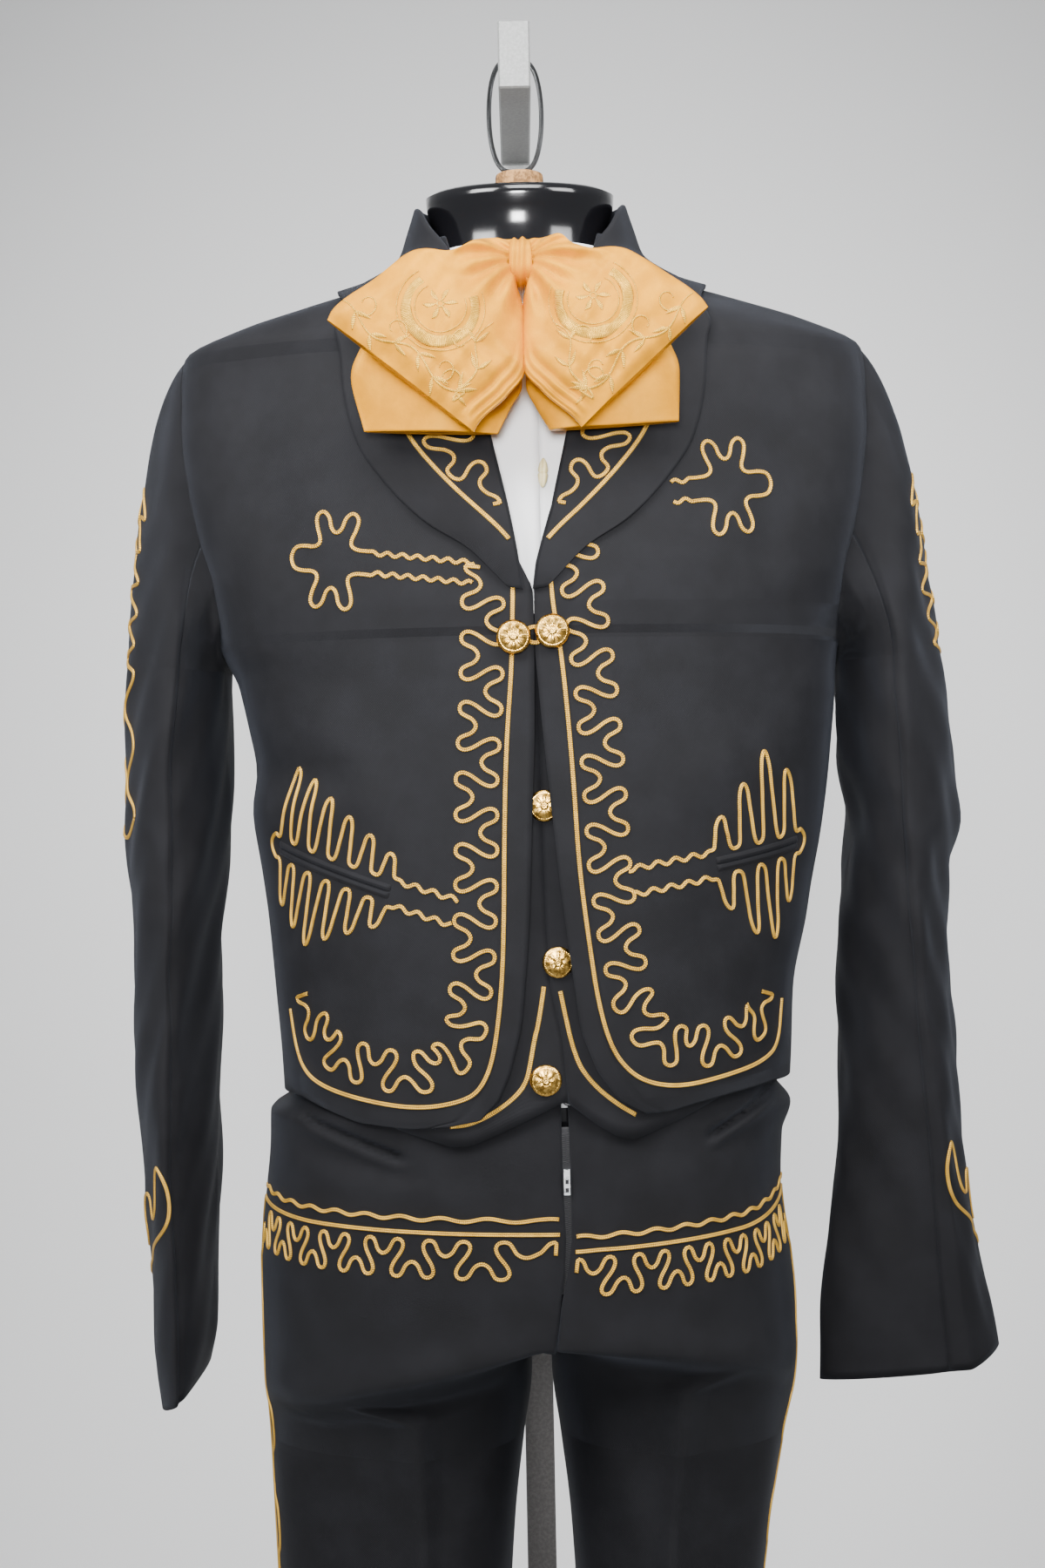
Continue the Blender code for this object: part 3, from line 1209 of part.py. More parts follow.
# ---------------------------------------------------------------- gold braid on the sleeves
for word, side in (("right", -1), ("left", 1)):
    place = SLEEVE["top_sleeve_%s" % word]
    name = "top_sleeve_%s" % word
    top_s = 1.50
    low_s = 0.80 if word == "right" else 1.05

    def on_sleeve(phi, s):
        w = (phi - BACK_SEAM) / (FRONT_SEAM - BACK_SEAM)
        v = float(np.interp(s, sleeve_rows, steps(len(sleeve_rows) - 1)))
        return land_on(place, [name], w if side < 0 else 1 - w, v)

    lobes = 7 if word == "right" else 5
    hits = []
    for way in (1, -1):
        for i in range(lobes * 4 + 1):
            t = i / (lobes * 4)
            t = t if way > 0 else 1 - t
            phi = 12 + way * (11 + 7 * math.cos(2 * math.pi * t * lobes))
            hits.append(on_sleeve(phi, low_s + (top_s - low_s) * t))
        for turn, rise in ((9, 0.020), (0, 0.030), (-9, 0.020)):
            hits.append(on_sleeve(12 + way * turn, (top_s if way > 0 else low_s) + way * rise))
    braid("sleeve_band_%s" % word, hits, BRAID_WIDE, BRAID_HIGH, lift=0.0011, loop=True)
    hits = []
    for i in range(8):
        hits.append(on_sleeve(-60 + 12 * i, 0.105 + 0.018 * i))
    for phi, s in ((34, 0.245), (40, 0.262), (41, 0.290), (37, 0.316)):
        hits.append(on_sleeve(phi, s))
    for i in range(20):
        t = i / 19
        phi = 30 - 86 * (t + 0.022 * math.sin(12 * math.pi * t))
        hits.append(on_sleeve(phi, 0.300 - 0.145 * t + 0.026 * math.cos(6 * math.pi * t)))
    braid("cuff_band_%s" % word, hits, BRAID_WIDE, BRAID_HIGH, lift=0.0011)

# ---------------------------------------------------------------- gold braid on the trousers
YOKE = {
    # fly end z, middle z, side z of the edge line
    "right": (0.9087, 0.9126, 0.9215),
    "left": (0.8980, 0.9040, 0.9250),
}
for word, side in (("right", -1), ("left", 1)):
    name = "trouser_front_%s" % word
    place = TROUSER[name]
    fly_z, mid_z, side_z = YOKE[word]

    def on_leg(q, z):
        v = float(np.interp(z, LEG_ZS, leg_knots))
        return land_on(place, [name], q if side > 0 else 1 - q, v)

    def yoke(q):
        """Height of the edge line across the front."""
        return fly_z + (mid_z - fly_z) * min(q / 0.5, 1.0) + (side_z - mid_z) * max(0.0, (q - 0.5) / 0.5) ** 1.5

    hits = []
    for i in range(21):
        q = 0.90 - 0.865 * i / 20
        hits.append(on_leg(q, yoke(q) + 0.0080 + 0.0018 * math.cos(math.pi * i)))
    for i in range(13):
        q = 0.035 + 0.875 * i / 12
        hits.append(on_leg(q, yoke(q)))
    for z in (0.890, 0.866, 0.840, 0.812, 0.785, 0.755, 0.715, 0.660, 0.580, 0.480, 0.370, 0.260, 0.145, 0.030):
        hits.append(on_leg(0.935, z))
    braid("yoke_line_%s" % word, hits, BRAID_WIDE, BRAID_HIGH, lift=0.0019)
    hits = []
    loops = 6
    for i in range(loops * 8 + 1):
        phi = 2 * math.pi * i / 8
        q = 0.045 + 0.765 * (i / 8 + 0.09 * math.sin(2 * phi)) / loops
        hits.append(on_leg(q, yoke(q) - 0.0160 + 0.0105 * math.cos(phi)))
    count = 26
    for i in range(1, count):
        z = 0.888 - (0.888 - 0.035) * i / count
        hits.append(on_leg(0.862 + 0.022 * math.sin(math.pi * i / 2), z))
    braid("yoke_loops_%s" % word, hits, BRAID_WIDE, BRAID_HIGH, lift=0.0019)

# ---------------------------------------------------------------- gold edge of the vest
VEST_TRIM = {
    "right": ((0.0050, 1.0610), (-0.0043, 1.0100), (-0.0093, 0.9975), (-0.0250, 0.9850), (-0.0420, 0.9770),
              (-0.0540, 0.9760)),
    "left": ((0.0150, 1.0580), (0.0231, 1.0169), (0.0335, 1.0010), (0.0480, 0.9885), (0.0600, 0.9810)),
}
for word in ("right", "left"):
    guide = [Vector((girth(VEST, x, z), z)) for x, z in VEST_TRIM[word]]
    hits = [land(VEST, ["vest_front_%s" % word], p.x, p.y) for p in follow(guide, 0.010)]
    braid("vest_line_%s" % word, hits, LINE_WIDE * 0.8, 0.0009, lift=0.0004)

# ---------------------------------------------------------------- bow
BOW_UPPER = (
    # across  top x, z          low x, z           depth   half thick
    (-1.00, -0.1164, 1.4628, -0.0306, 1.3943, -0.1610, 0.0080),
    (-0.93, -0.1130, 1.4690, -0.0265, 1.4010, -0.1610, 0.0120),
    (-0.70, -0.0870, 1.4875, -0.0150, 1.4165, -0.1600, 0.0165),
    (-0.42, -0.0560, 1.5105, -0.0045, 1.4330, -0.1525, 0.0170),
    (-0.22, -0.0300, 1.5165, -0.0005, 1.4640, -0.1440, 0.0160),
    (-0.14, -0.0190, 1.5155, -0.0100, 1.4830, -0.1380, 0.0130),
    (-0.08, -0.0112, 1.5153, -0.0102, 1.4895, -0.1340, 0.0110),
    (0.00, -0.0010, 1.5147, -0.0010, 1.4915, -0.1335, 0.0105),
    (0.08, 0.0094, 1.5153, 0.0086, 1.4895, -0.1340, 0.0110),
    (0.14, 0.0160, 1.5160, 0.0088, 1.4830, -0.1380, 0.0130),
    (0.22, 0.0270, 1.5180, 0.0010, 1.4640, -0.1440, 0.0160),
    (0.42, 0.0510, 1.5095, 0.0065, 1.4330, -0.1525, 0.0170),
    (0.70, 0.0810, 1.4905, 0.0165, 1.4180, -0.1600, 0.0165),
    (0.93, 0.1065, 1.4715, 0.0290, 1.4020, -0.1610, 0.0120),
    (1.00, 0.1102, 1.4663, 0.0337, 1.3962, -0.1610, 0.0080),
)
BOW_LOWER = (
    (-1.00, -0.0975, 1.4003, -0.0213, 1.3999, -0.1345, 0.0065),
    (-0.80, -0.1050, 1.4330, -0.0140, 1.4130, -0.1330, 0.0090),
    (-0.60, -0.1000, 1.4500, -0.0080, 1.4280, -0.1300, 0.0095),
    (-0.35, -0.0600, 1.4800, -0.0050, 1.4500, -0.1220, 0.0100),
    (-0.09, -0.0110, 1.5080, -0.0095, 1.4890, -0.1080, 0.0100),
    (0.00, -0.0010, 1.5070, -0.0010, 1.4930, -0.1060, 0.0095),
    (0.09, 0.0090, 1.5080, 0.0080, 1.4890, -0.1080, 0.0100),
    (0.35, 0.0560, 1.4800, 0.0060, 1.4500, -0.1220, 0.0100),
    (0.60, 0.0900, 1.4500, 0.0070, 1.4280, -0.1300, 0.0095),
    (0.80, 0.0945, 1.4330, 0.0080, 1.4130, -0.1330, 0.0090),
    (1.00, 0.0935, 1.4030, 0.0150, 1.3990, -0.1345, 0.0065),
)
SATIN = (0.68, 0.36, 0.06)


def lobes(name, table, around):
    """A soft folded piece lofted across the bow through its pinched middle."""
    verts = []
    faces = []
    n = len(table)
    for across, top_x, top_z, low_x, low_z, depth, thick in table:
        top = Vector((top_x, depth, top_z))
        low = Vector((low_x, depth, low_z))
        for j in range(around):
            a = 2 * math.pi * j / around
            c = math.cos(a)
            s = math.sin(a)
            hill = math.copysign(abs(s) ** 0.7, s)
            verts.append((top + low) / 2 + (top - low) / 2 * c + Vector((0.0, -hill * thick, 0.0)))
    for i in range(n - 1):
        for j in range(around):
            k = (j + 1) % around
            faces.append((i * around + j, i * around + k, (i + 1) * around + k, (i + 1) * around + j))
    for i in (0, n - 1):
        verts.append(sum(verts[i * around:(i + 1) * around], Vector()) / around)
        tip = len(verts) - 1
        for j in range(around):
            k = (j + 1) % around
            a = i * around + j
            b = i * around + k
            faces.append((tip, a, b) if i else (tip, b, a))
    return solid(name, verts, faces, SATIN, 0.45)


lobes("bow_upper", BOW_UPPER, 12)
lobes("bow_lower", BOW_LOWER, 10)


def bow_knot(u, v):
    a = 2 * math.pi * u * 0.995
    c = math.copysign(abs(math.cos(a)) ** 0.65, math.cos(a))
    s = math.copysign(abs(math.sin(a)) ** 0.65, math.sin(a))
    return Vector((-0.0085 + 0.0155 * v, -0.1123 - 0.0368 * c, 1.5015 - 0.0155 * s))


shell("bow_knot", bow_knot, steps(14), steps(2), 0.0013, SATIN, 0.45, inward=1, seam=0.0)
NECKBAND = (
    # z      right   left    front   back    square
    (1.500, 0.0722, 0.0722, 0.0738, 0.0690, 2.1),
    (1.534, 0.0722, 0.0722, 0.0738, 0.0690, 2.1),
)


def neckband(u, v):
    turn = 90 - 359.6 * u
    p = ring(NECKBAND, turn, 1.52)
    dip = 0.0205 * max(0.0, math.sin(math.radians(turn))) ** 3
    return Vector((p.x, p.y, 1.5215 + 0.0135 * v - dip))


shell("bow_neckband", neckband, steps(22), steps(1), 0.0014, SATIN, 0.45)

# ---------------------------------------------------------------- frame
# Everything above is laid out about the form's own middle; the row's origin is under the middle of the
# whole stand and suit, on the floor.
MIDDLE_X = 0.0170
MIDDLE_Y = 0.0568
for obj in bpy.data.objects:
    obj.data.transform(Matrix.Translation((-MIDDLE_X, -MIDDLE_Y, 0.0)))
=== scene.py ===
import math

import bmesh
import bpy
import numpy as np
from mathutils import Matrix, Vector
from mathutils.bvhtree import BVHTree


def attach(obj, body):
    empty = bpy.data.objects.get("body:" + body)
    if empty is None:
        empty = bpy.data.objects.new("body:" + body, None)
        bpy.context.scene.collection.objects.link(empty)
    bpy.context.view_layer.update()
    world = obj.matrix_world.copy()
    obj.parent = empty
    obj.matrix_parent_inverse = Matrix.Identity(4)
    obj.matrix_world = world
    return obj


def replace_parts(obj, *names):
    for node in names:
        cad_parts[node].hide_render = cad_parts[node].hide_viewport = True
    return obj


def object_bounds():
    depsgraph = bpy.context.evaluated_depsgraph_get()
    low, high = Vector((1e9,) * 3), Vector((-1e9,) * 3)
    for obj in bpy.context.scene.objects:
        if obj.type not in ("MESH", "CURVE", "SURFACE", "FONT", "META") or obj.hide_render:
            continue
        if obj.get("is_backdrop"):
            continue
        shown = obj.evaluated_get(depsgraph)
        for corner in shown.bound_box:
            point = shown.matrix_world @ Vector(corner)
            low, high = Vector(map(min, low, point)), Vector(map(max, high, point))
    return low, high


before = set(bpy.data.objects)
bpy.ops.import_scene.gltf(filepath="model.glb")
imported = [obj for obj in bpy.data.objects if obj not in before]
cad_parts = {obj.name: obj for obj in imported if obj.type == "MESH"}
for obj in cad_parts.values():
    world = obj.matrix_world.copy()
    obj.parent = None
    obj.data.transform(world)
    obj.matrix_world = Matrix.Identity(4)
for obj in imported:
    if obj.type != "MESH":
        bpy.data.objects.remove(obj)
CAD_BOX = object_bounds()
REST = "suit_and_stand"

# ---------------------------------------------------------------- the room
# A pale sweep of floor and wall, seen through from behind, with a soft lamp on each side, one overhead and
# one in front. The camera stands in front of the suit and is tipped a degree to one side.
# MIDDLE is the point of the drawing that lies at x 0, y 0 of the shared frame.
MIDDLE = np.array((0.0170, 0.0568, 0.0))
CAMERA_AT = (-0.0056, -1.5, 1.185)
CAMERA_TIP = -1.1
FLOOR_LONG = 3.2
BEND_LONG = 1.2
BEND_R = 0.8
FLOOR_FRONT = -2.2

room = bpy.context.scene
lens = bpy.data.cameras.new("camera")
lens.sensor_width = 36.0
lens.lens = 51.72
camera = bpy.data.objects.new("camera", lens)
tilt = Matrix.Rotation(math.radians(90), 4, "X") @ Matrix.Rotation(math.radians(CAMERA_TIP), 4, "Z")
camera.matrix_world = Matrix.Translation(Vector(CAMERA_AT) - Vector(MIDDLE)) @ tilt
room.collection.objects.link(camera)
room.camera = camera

for name, place, aim, size, spread_angle, power in (
    ("lamp_left", (-1.5, -1.5, 2.8), (0.0, 0.1, 1.50), 1.2, 75, 20),
    ("lamp_right", (1.7, -1.4, 2.7), (0.0, 0.1, 1.50), 1.2, 75, 13),
    ("lamp_top", (0.1, -1.2, 3.1), (0.0, 0.1, 1.60), 1.0, 75, 10),
    ("lamp_front", (-0.15, -2.9, 1.50), (0.0, 0.0, 1.50), 0.7, 38, 7.5),
):
    lamp = bpy.data.lights.new(name, "AREA")
    lamp.size = size
    lamp.energy = power
    lamp.spread = math.radians(spread_angle)
    lamp_object = bpy.data.objects.new(name, lamp)
    lamp_object.matrix_world = Matrix.Translation(place) @ (
        (Vector(aim) - Vector(place)).to_track_quat("-Z", "Y").to_matrix().to_4x4())
    room.collection.objects.link(lamp_object)
room.world = bpy.data.worlds.new("room")
room.world.use_nodes = True
room.world.node_tree.nodes["Background"].inputs[0].default_value = (0.80, 0.82, 0.85, 1.0)
room.world.node_tree.nodes["Background"].inputs[1].default_value = 0.34

bm = bmesh.new()
bmesh.ops.create_grid(bm, x_segments=1, y_segments=40, size=0.5)
for vert in bm.verts:
    along = (vert.co.y + 0.5) * 6.0
    bend = min(max((along - FLOOR_LONG) / BEND_LONG, 0.0), 1.0)
    out = min(along, FLOOR_LONG) + BEND_R * math.sin(bend * math.pi / 2)
    wall = max(0.0, along - FLOOR_LONG - BEND_LONG) * 1.6
    up = BEND_R * (1 - math.cos(bend * math.pi / 2)) + wall
    vert.co = (vert.co.x * 9.0, out + FLOOR_FRONT, up)
sweep_mesh = bpy.data.meshes.new("floor")
bm.to_mesh(sweep_mesh)
bm.free()
for face in sweep_mesh.polygons:
    face.use_smooth = True
floor = bpy.data.objects.new("floor", sweep_mesh)
room.collection.objects.link(floor)
paper = bpy.data.materials.new("pale_paper")
paper.use_nodes = True
paper_nodes = paper.node_tree.nodes
paper_nodes["Principled BSDF"].inputs["Base Color"].default_value = (0.85, 0.85, 0.85, 1.0)
paper_nodes["Principled BSDF"].inputs["Roughness"].default_value = 0.9
sided = paper_nodes.new("ShaderNodeMixShader")
paper.node_tree.links.new(paper_nodes.new("ShaderNodeNewGeometry").outputs["Backfacing"], sided.inputs[0])
paper.node_tree.links.new(paper_nodes["Principled BSDF"].outputs[0], sided.inputs[1])
paper.node_tree.links.new(paper_nodes.new("ShaderNodeBsdfTransparent").outputs[0], sided.inputs[2])
paper.node_tree.links.new(sided.outputs[0], paper_nodes["Material Output"].inputs["Surface"])
floor.data.materials.append(paper)
floor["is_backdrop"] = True


# ---------------------------------------------------------------- torso form
# A hollow black plastic torso with no head, arms or legs, moulded in one piece and polished, with a rolled
# rim at the neck and a cork pressed into the neck plate. The helpers for materials and cloth come first.
class Value:
    """A number that varies over a surface; sums on it add the material's Math nodes."""

    def __init__(self, finish, socket):
        self.finish = finish
        self.socket = socket

    def _sum(self, operation, *values):
        return self.finish.make("ShaderNodeMath", {"operation": operation}, dict(enumerate(values)))

    def __add__(self, other):
        return self._sum("ADD", self, other)

    def __sub__(self, other):
        return self._sum("SUBTRACT", self, other)

    def __mul__(self, other):
        return self._sum("MULTIPLY", self, other)

    __radd__ = __add__
    __rmul__ = __mul__

    def sin(self):
        return self._sum("SINE", self)

    def size(self):
        return self._sum("ABSOLUTE", self)

    def between(self, low, high):
        """0 below low, 1 above high, smooth between."""
        return self.finish.make("ShaderNodeMapRange", {"interpolation_type": "SMOOTHSTEP"},
                                {0: self, 1: low, 2: high, 3: 0.0, 4: 1.0})


class Finish:
    """A material of this suit, made up from nodes."""

    def __init__(self, name, colour, rough, metal=0.0, **sockets):
        self.material = bpy.data.materials.new(name)
        self.material.use_nodes = True
        self.tree = self.material.node_tree
        self.shader = self.tree.nodes["Principled BSDF"]
        self.shader.inputs["Base Color"].default_value = (*colour, 1.0)
        self.shader.inputs["Roughness"].default_value = rough
        self.shader.inputs["Metallic"].default_value = metal
        for key, value in sockets.items():
            self.shader.inputs[key.replace("_", " ").title().replace("Ior", "IOR")].default_value = value

    def make(self, kind, settings, sockets, out=0):
        node = self.tree.nodes.new(kind)
        for key, value in settings.items():
            setattr(node, key, value)
        for key, value in sockets.items():
            self.feed(node.inputs[key], value)
        return Value(self, node.outputs[out])

    def feed(self, socket, value):
        if isinstance(value, Value):
            self.tree.links.new(value.socket, socket)
        elif isinstance(value, tuple) and len(value) == 3 and socket.type == "RGBA":
            socket.default_value = (*value, 1.0)
        else:
            socket.default_value = value

    def place(self, kind="Object"):
        return self.make("ShaderNodeTexCoord", {}, {}, kind)

    def split(self, vector):
        return [self.make("ShaderNodeSeparateXYZ", {}, {0: vector}, i) for i in range(3)]

    def cloud(self, scale, detail=2.0, rough=0.5, where=None):
        settings = {"Vector": where or self.place(), "Scale": scale, "Detail": detail, "Roughness": rough}
        return self.make("ShaderNodeTexNoise", {}, settings)

    def blend(self, factor, first, second):
        return self.make("ShaderNodeMix", {"data_type": "RGBA"}, {0: factor, 6: first, 7: second}, 2)

    def raise_by(self, height, distance, strength=1.0):
        bump = self.make("ShaderNodeBump", {}, {"Strength": strength, "Distance": distance, "Height": height})
        self.feed(self.shader.inputs["Normal"], bump)

    def colour(self, value):
        self.feed(self.shader.inputs["Base Color"], value)

    def roughness(self, value):
        self.feed(self.shader.inputs["Roughness"], value)


FORM = (
    # z      right   left    front   back    square
    (0.868, 0.1400, 0.1400, 0.0950, 0.0900, 2.4),
    (0.885, 0.1510, 0.1460, 0.1060, 0.1000, 2.4),
    (0.980, 0.1490, 0.1480, 0.1090, 0.0930, 2.4),
    (1.050, 0.1490, 0.1490, 0.1125, 0.0915, 2.4),
    (1.200, 0.1680, 0.1750, 0.1240, 0.1050, 2.4),
    (1.280, 0.1860, 0.1880, 0.1245, 0.1120, 2.4),
    (1.340, 0.2030, 0.2030, 0.1185, 0.1160, 2.4),
    (1.400, 0.2120, 0.2120, 0.1065, 0.1150, 2.4),
    (1.435, 0.2120, 0.2120, 0.0945, 0.1090, 2.4),
    (1.458, 0.2020, 0.2020, 0.0850, 0.1010, 2.4),
    (1.474, 0.1760, 0.1760, 0.0790, 0.0930, 2.4),
    (1.487, 0.1360, 0.1360, 0.0725, 0.0835, 2.4),
    (1.500, 0.0980, 0.0980, 0.0655, 0.0730, 2.4),
    (1.509, 0.0815, 0.0815, 0.0618, 0.0675, 2.3),
    (1.520, 0.0680, 0.0680, 0.0585, 0.0625, 2.2),
    (1.534, 0.0610, 0.0610, 0.0565, 0.0590, 2.0),
    (1.547, 0.0602, 0.0602, 0.0560, 0.0585, 2.0),
    (1.560, 0.0628, 0.0628, 0.0590, 0.0615, 2.0),
    (1.568, 0.0648, 0.0648, 0.0615, 0.0640, 2.0),
    (1.573, 0.0625, 0.0625, 0.0590, 0.0615, 2.0),
)
NECK_TOP_Z = 1.573
CORK_R = 0.0165


def through(table, z):
    """Every other column of a size table at heights z, run smoothly through its rows."""
    rows = np.array(sorted(table), dtype=float)
    zs = rows[:, 0]
    z = np.clip(np.asarray(z, dtype=float), zs[0], zs[-1])
    i = np.clip(np.searchsorted(zs, z) - 1, 0, len(zs) - 2)
    step = np.diff(zs)
    slope = np.diff(rows[:, 1:], axis=0) / step[:, None]
    both = slope[:-1] * slope[1:]
    knot = np.where(both > 0, 2 * both / (slope[:-1] + slope[1:] + 1e-12), 0.0)
    knot = np.vstack([slope[:1], knot, slope[-1:]])
    t = ((z - zs[i]) / step[i])[..., None]
    h = step[i][..., None]
    a = rows[i, 1:] * (2 * t**3 - 3 * t**2 + 1) + rows[i + 1, 1:] * (3 * t**2 - 2 * t**3)
    a = a + h * (knot[i] * (t**3 - 2 * t**2 + t) + knot[i + 1] * (t**3 - t**2))
    return np.moveaxis(a, -1, 0)


def ring(table, turn, z):
    """Points of a ring: turn 0 is the wearer's left side, 90 the front, 180 the right side."""
    right, left, front, back, square = through(table, z)
    c = np.cos(np.radians(turn))
    s = np.sin(np.radians(turn))
    x = np.where(c >= 0, left, -right) * np.abs(c) ** (2 / square)
    y = np.where(s >= 0, -front, back) * np.abs(s) ** (2 / square)
    return np.stack([x, y, np.broadcast_to(z, np.shape(x)) * 1.0], -1)


def turned_to(table, x, z):
    """The turn at which the front of a ring passes x."""
    right, left, _, _, square = through(table, z)
    reach = np.minimum(np.abs(x) / np.where(np.asarray(x) >= 0, left, right), 1.0)
    turn = np.degrees(np.arccos(reach ** (square / 2)))
    return np.where(np.asarray(x) >= 0, turn, 180 - turn)


def unit(way):
    """The same direction, made one long."""
    return way / (np.linalg.norm(way, axis=-1, keepdims=True) + 1e-12)


def square_to(a, b):
    """The direction square to both."""
    return unit(np.cross(a, b))


def skin(table, turn, z, out=0.0, crease=None):
    """Ring points moved out square to the surface, with the cloth's own creases."""
    turn, z = np.broadcast_arrays(np.asarray(turn, float), np.asarray(z, float))
    here = ring(table, turn, z)
    side = ring(table, turn + 0.4, z) - ring(table, turn - 0.4, z)
    up = ring(table, turn, np.minimum(z + 0.002, table[-1][0])) - ring(table, turn, z - 0.002)
    far = out + (crease(here) if crease else 0.0)
    return here + square_to(up, side) * np.asarray(far)[..., None]


def surface(name, place, across, along, finish, wide=1.0, long=1.0, merge=False):
    """A grid of cloth or shell laid over place(u, v), its UV map in metres."""
    bm = bmesh.new()
    bmesh.ops.create_grid(bm, x_segments=across, y_segments=along, size=0.5)
    at = np.array([v.co[:2] for v in bm.verts]) + 0.5
    spots = place(at[:, 0], at[:, 1]) - MIDDLE
    uv = bm.loops.layers.uv.new("UVMap")
    for vert, (u, v), spot in zip(bm.verts, at, spots):
        for loop in vert.link_loops:
            loop[uv].uv = (u * wide, v * long)
        vert.co = spot
    if merge:
        bmesh.ops.remove_doubles(bm, verts=bm.verts[:], dist=2e-6)
        bmesh.ops.recalc_face_normals(bm, faces=bm.faces[:])
    for face in bm.faces:
        face.smooth = True
    mesh = bpy.data.meshes.new(name)
    bm.to_mesh(mesh)
    bm.free()
    piece = bpy.data.objects.new(name, mesh)
    bpy.context.scene.collection.objects.link(piece)
    piece.data.materials.append(finish.material)
    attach(piece, REST)
    return piece


gloss = Finish("form_black_gloss", (0.004, 0.004, 0.005), 0.16, coat_weight=0.4, coat_roughness=0.08)
gloss.roughness(gloss.cloud(14, 5, 0.6) * 0.10 + gloss.cloud(160, 2) * 0.06 + 0.06)
gloss.raise_by(gloss.cloud(38, 1.5), 0.0004, 0.35)


def torso(u, v):
    """The form from its hip plate up over the shoulders to the rim and in over the neck plate."""
    low = FORM[0][0]
    z = low + (NECK_TOP_Z - low) * np.clip((v - 0.04) / 0.88, 0, 1)
    body = skin(FORM, 360 * (1 - u), z, -0.0018)
    centre = np.stack([0 * z, 0 * z, z], -1)
    foot = np.clip(1 - v / 0.04, 0, 1)[..., None]
    crown = np.clip((v - 0.92) / 0.08, 0, 1)[..., None]
    body = body + (centre - body) * np.maximum(foot, crown)
    body[..., 2] -= 0.006 * np.sin(foot[..., 0] * math.pi / 2)
    body[..., 2] += np.clip((z - 1.548) / 0.020, 0, 1) * (0.0050 + 0.0065 * body[..., 1] / 0.062)
    return body


form = surface("form_shell", torso, 96, 120, gloss, merge=True)
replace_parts(form, "torso_form")

cork = Finish("form_cork", (0.36, 0.24, 0.13), 0.85)
grain = cork.cloud(260, 6, 0.7)
cork.colour(cork.blend(grain.between(0.4, 0.62), (0.16, 0.075, 0.022), (0.42, 0.22, 0.08)))
cork.raise_by(grain, 0.0006)


def cork_shape(u, v):
    r = np.interp(v, (0, 0.04, 0.10, 0.55, 0.62, 0.70, 1.0), (0, 1, 1, 0.96, 0.93, 0.86, 0)) * CORK_R
    z = np.interp(v, (0, 0.10, 0.55, 0.62, 0.70, 1.0), (-0.0015, -0.0015, 0.0160, 0.0172, 0.0175, 0.0175))
    a = 2 * math.pi * u
    return np.stack([r * np.cos(a), r * np.sin(a), NECK_TOP_Z + z], -1)


stopper = surface("form_stopper", cork_shape, 40, 28, cork, merge=True)

# ---------------------------------------------------------------- pole stand and cable
# A square steel pole on a flat plate, with a cast arm bent forward over the form's neck. A braided wire
# loop comes up out of the cork and hangs over the arm behind its lip.
cast = Finish("stand_cast_grey", (0.40, 0.40, 0.41), 0.46, 0.25)
speck = cast.cloud(420, 4, 0.7)
_, _, cast_z = cast.split(cast.place())
# Below the arm's top (z 1.635) the pole gets a darker copy of the arm's grey: painted shade on the pole where
# it stands behind the form and between the legs.
pole_grey_painted_shade = cast.blend(speck.between(0.35, 0.7), (0.150, 0.142, 0.138), (0.210, 0.200, 0.194))
arm_grey = cast.blend(speck.between(0.35, 0.7), (0.25, 0.255, 0.25), (0.32, 0.325, 0.32))
cast.colour(cast.blend(cast_z.between(1.635, 1.640), pole_grey_painted_shade, arm_grey))
cast.roughness(cast.cloud(30, 3) * 0.25 + 0.32)
cast.raise_by(speck + cast.cloud(60, 3) * 0.8, 0.00022)
stand = bpy.data.objects["pole_stand"]
stand.data.materials.clear()
stand.data.materials.append(cast.material)

wire = Finish("cable_braided_wire", (0.16, 0.165, 0.17), 0.38, 1.0)
wire_u, wire_v, _ = wire.split(wire.place("UV"))
one_way = (wire_u * 950.0 + wire_v * 6.2832).sin() * 0.5 + 0.5
other_way = (wire_u * 950.0 - wire_v * 6.2832).sin() * 0.5 + 0.5
strand = one_way * other_way
wire.colour(wire.blend(strand, (0.06, 0.062, 0.065), (0.34, 0.345, 0.35)))
wire.raise_by(strand, 0.0004)


def along_path(points, closed=False):
    """Directions at each point of a path."""
    if closed:
        ahead = np.roll(points, -1, 0) - points
        behind = points - np.roll(points, 1, 0)
    else:
        ahead = np.vstack([np.diff(points, axis=0), points[-1:] - points[-2:-1]])
        behind = np.vstack([points[1:2] - points[:1], np.diff(points, axis=0)])
    return unit(unit(ahead) + unit(behind))


def run_of(points):
    return np.concatenate([[0], np.cumsum(np.linalg.norm(np.diff(points, axis=0), axis=-1))])


def even(points, gap, extra=None):
    """The same path in even steps; extra is carried along with it."""
    run = run_of(points)
    s = np.linspace(0, run[-1], max(2, int(round(run[-1] / gap)) + 1))
    out = np.stack([np.interp(s, run, points[:, i]) for i in range(points.shape[1])], -1)
    if extra is None:
        return out
    return out, np.stack([np.interp(s, run, extra[:, i]) for i in range(extra.shape[1])], -1)


CABLE_R = 0.00165


def cable_shape(v):
    """The middle of the cable's loop."""
    a = 2 * math.pi * v
    high = 0.5 - 0.5 * np.cos(a)
    wide = 0.0175 * np.sign(np.sin(a)) * np.abs(np.sin(a)) ** 0.6
    return np.stack([-0.0020 + wide, 0.0030 * high + 0.0005, 1.5925 + 0.0759 * high], -1)


def tube(u, v, path, size):
    """A round tube along path(v)."""
    e = 1e-3
    here = path(v)
    way = unit(path(v + e) - path(v - e))
    side = square_to(way, np.broadcast_to(np.array((0.0, 1.0, 0.0)), way.shape))
    over = np.cross(side, way)
    a = (2 * math.pi * u)[..., None]
    return here + (side * np.cos(a) + over * np.sin(a)) * size


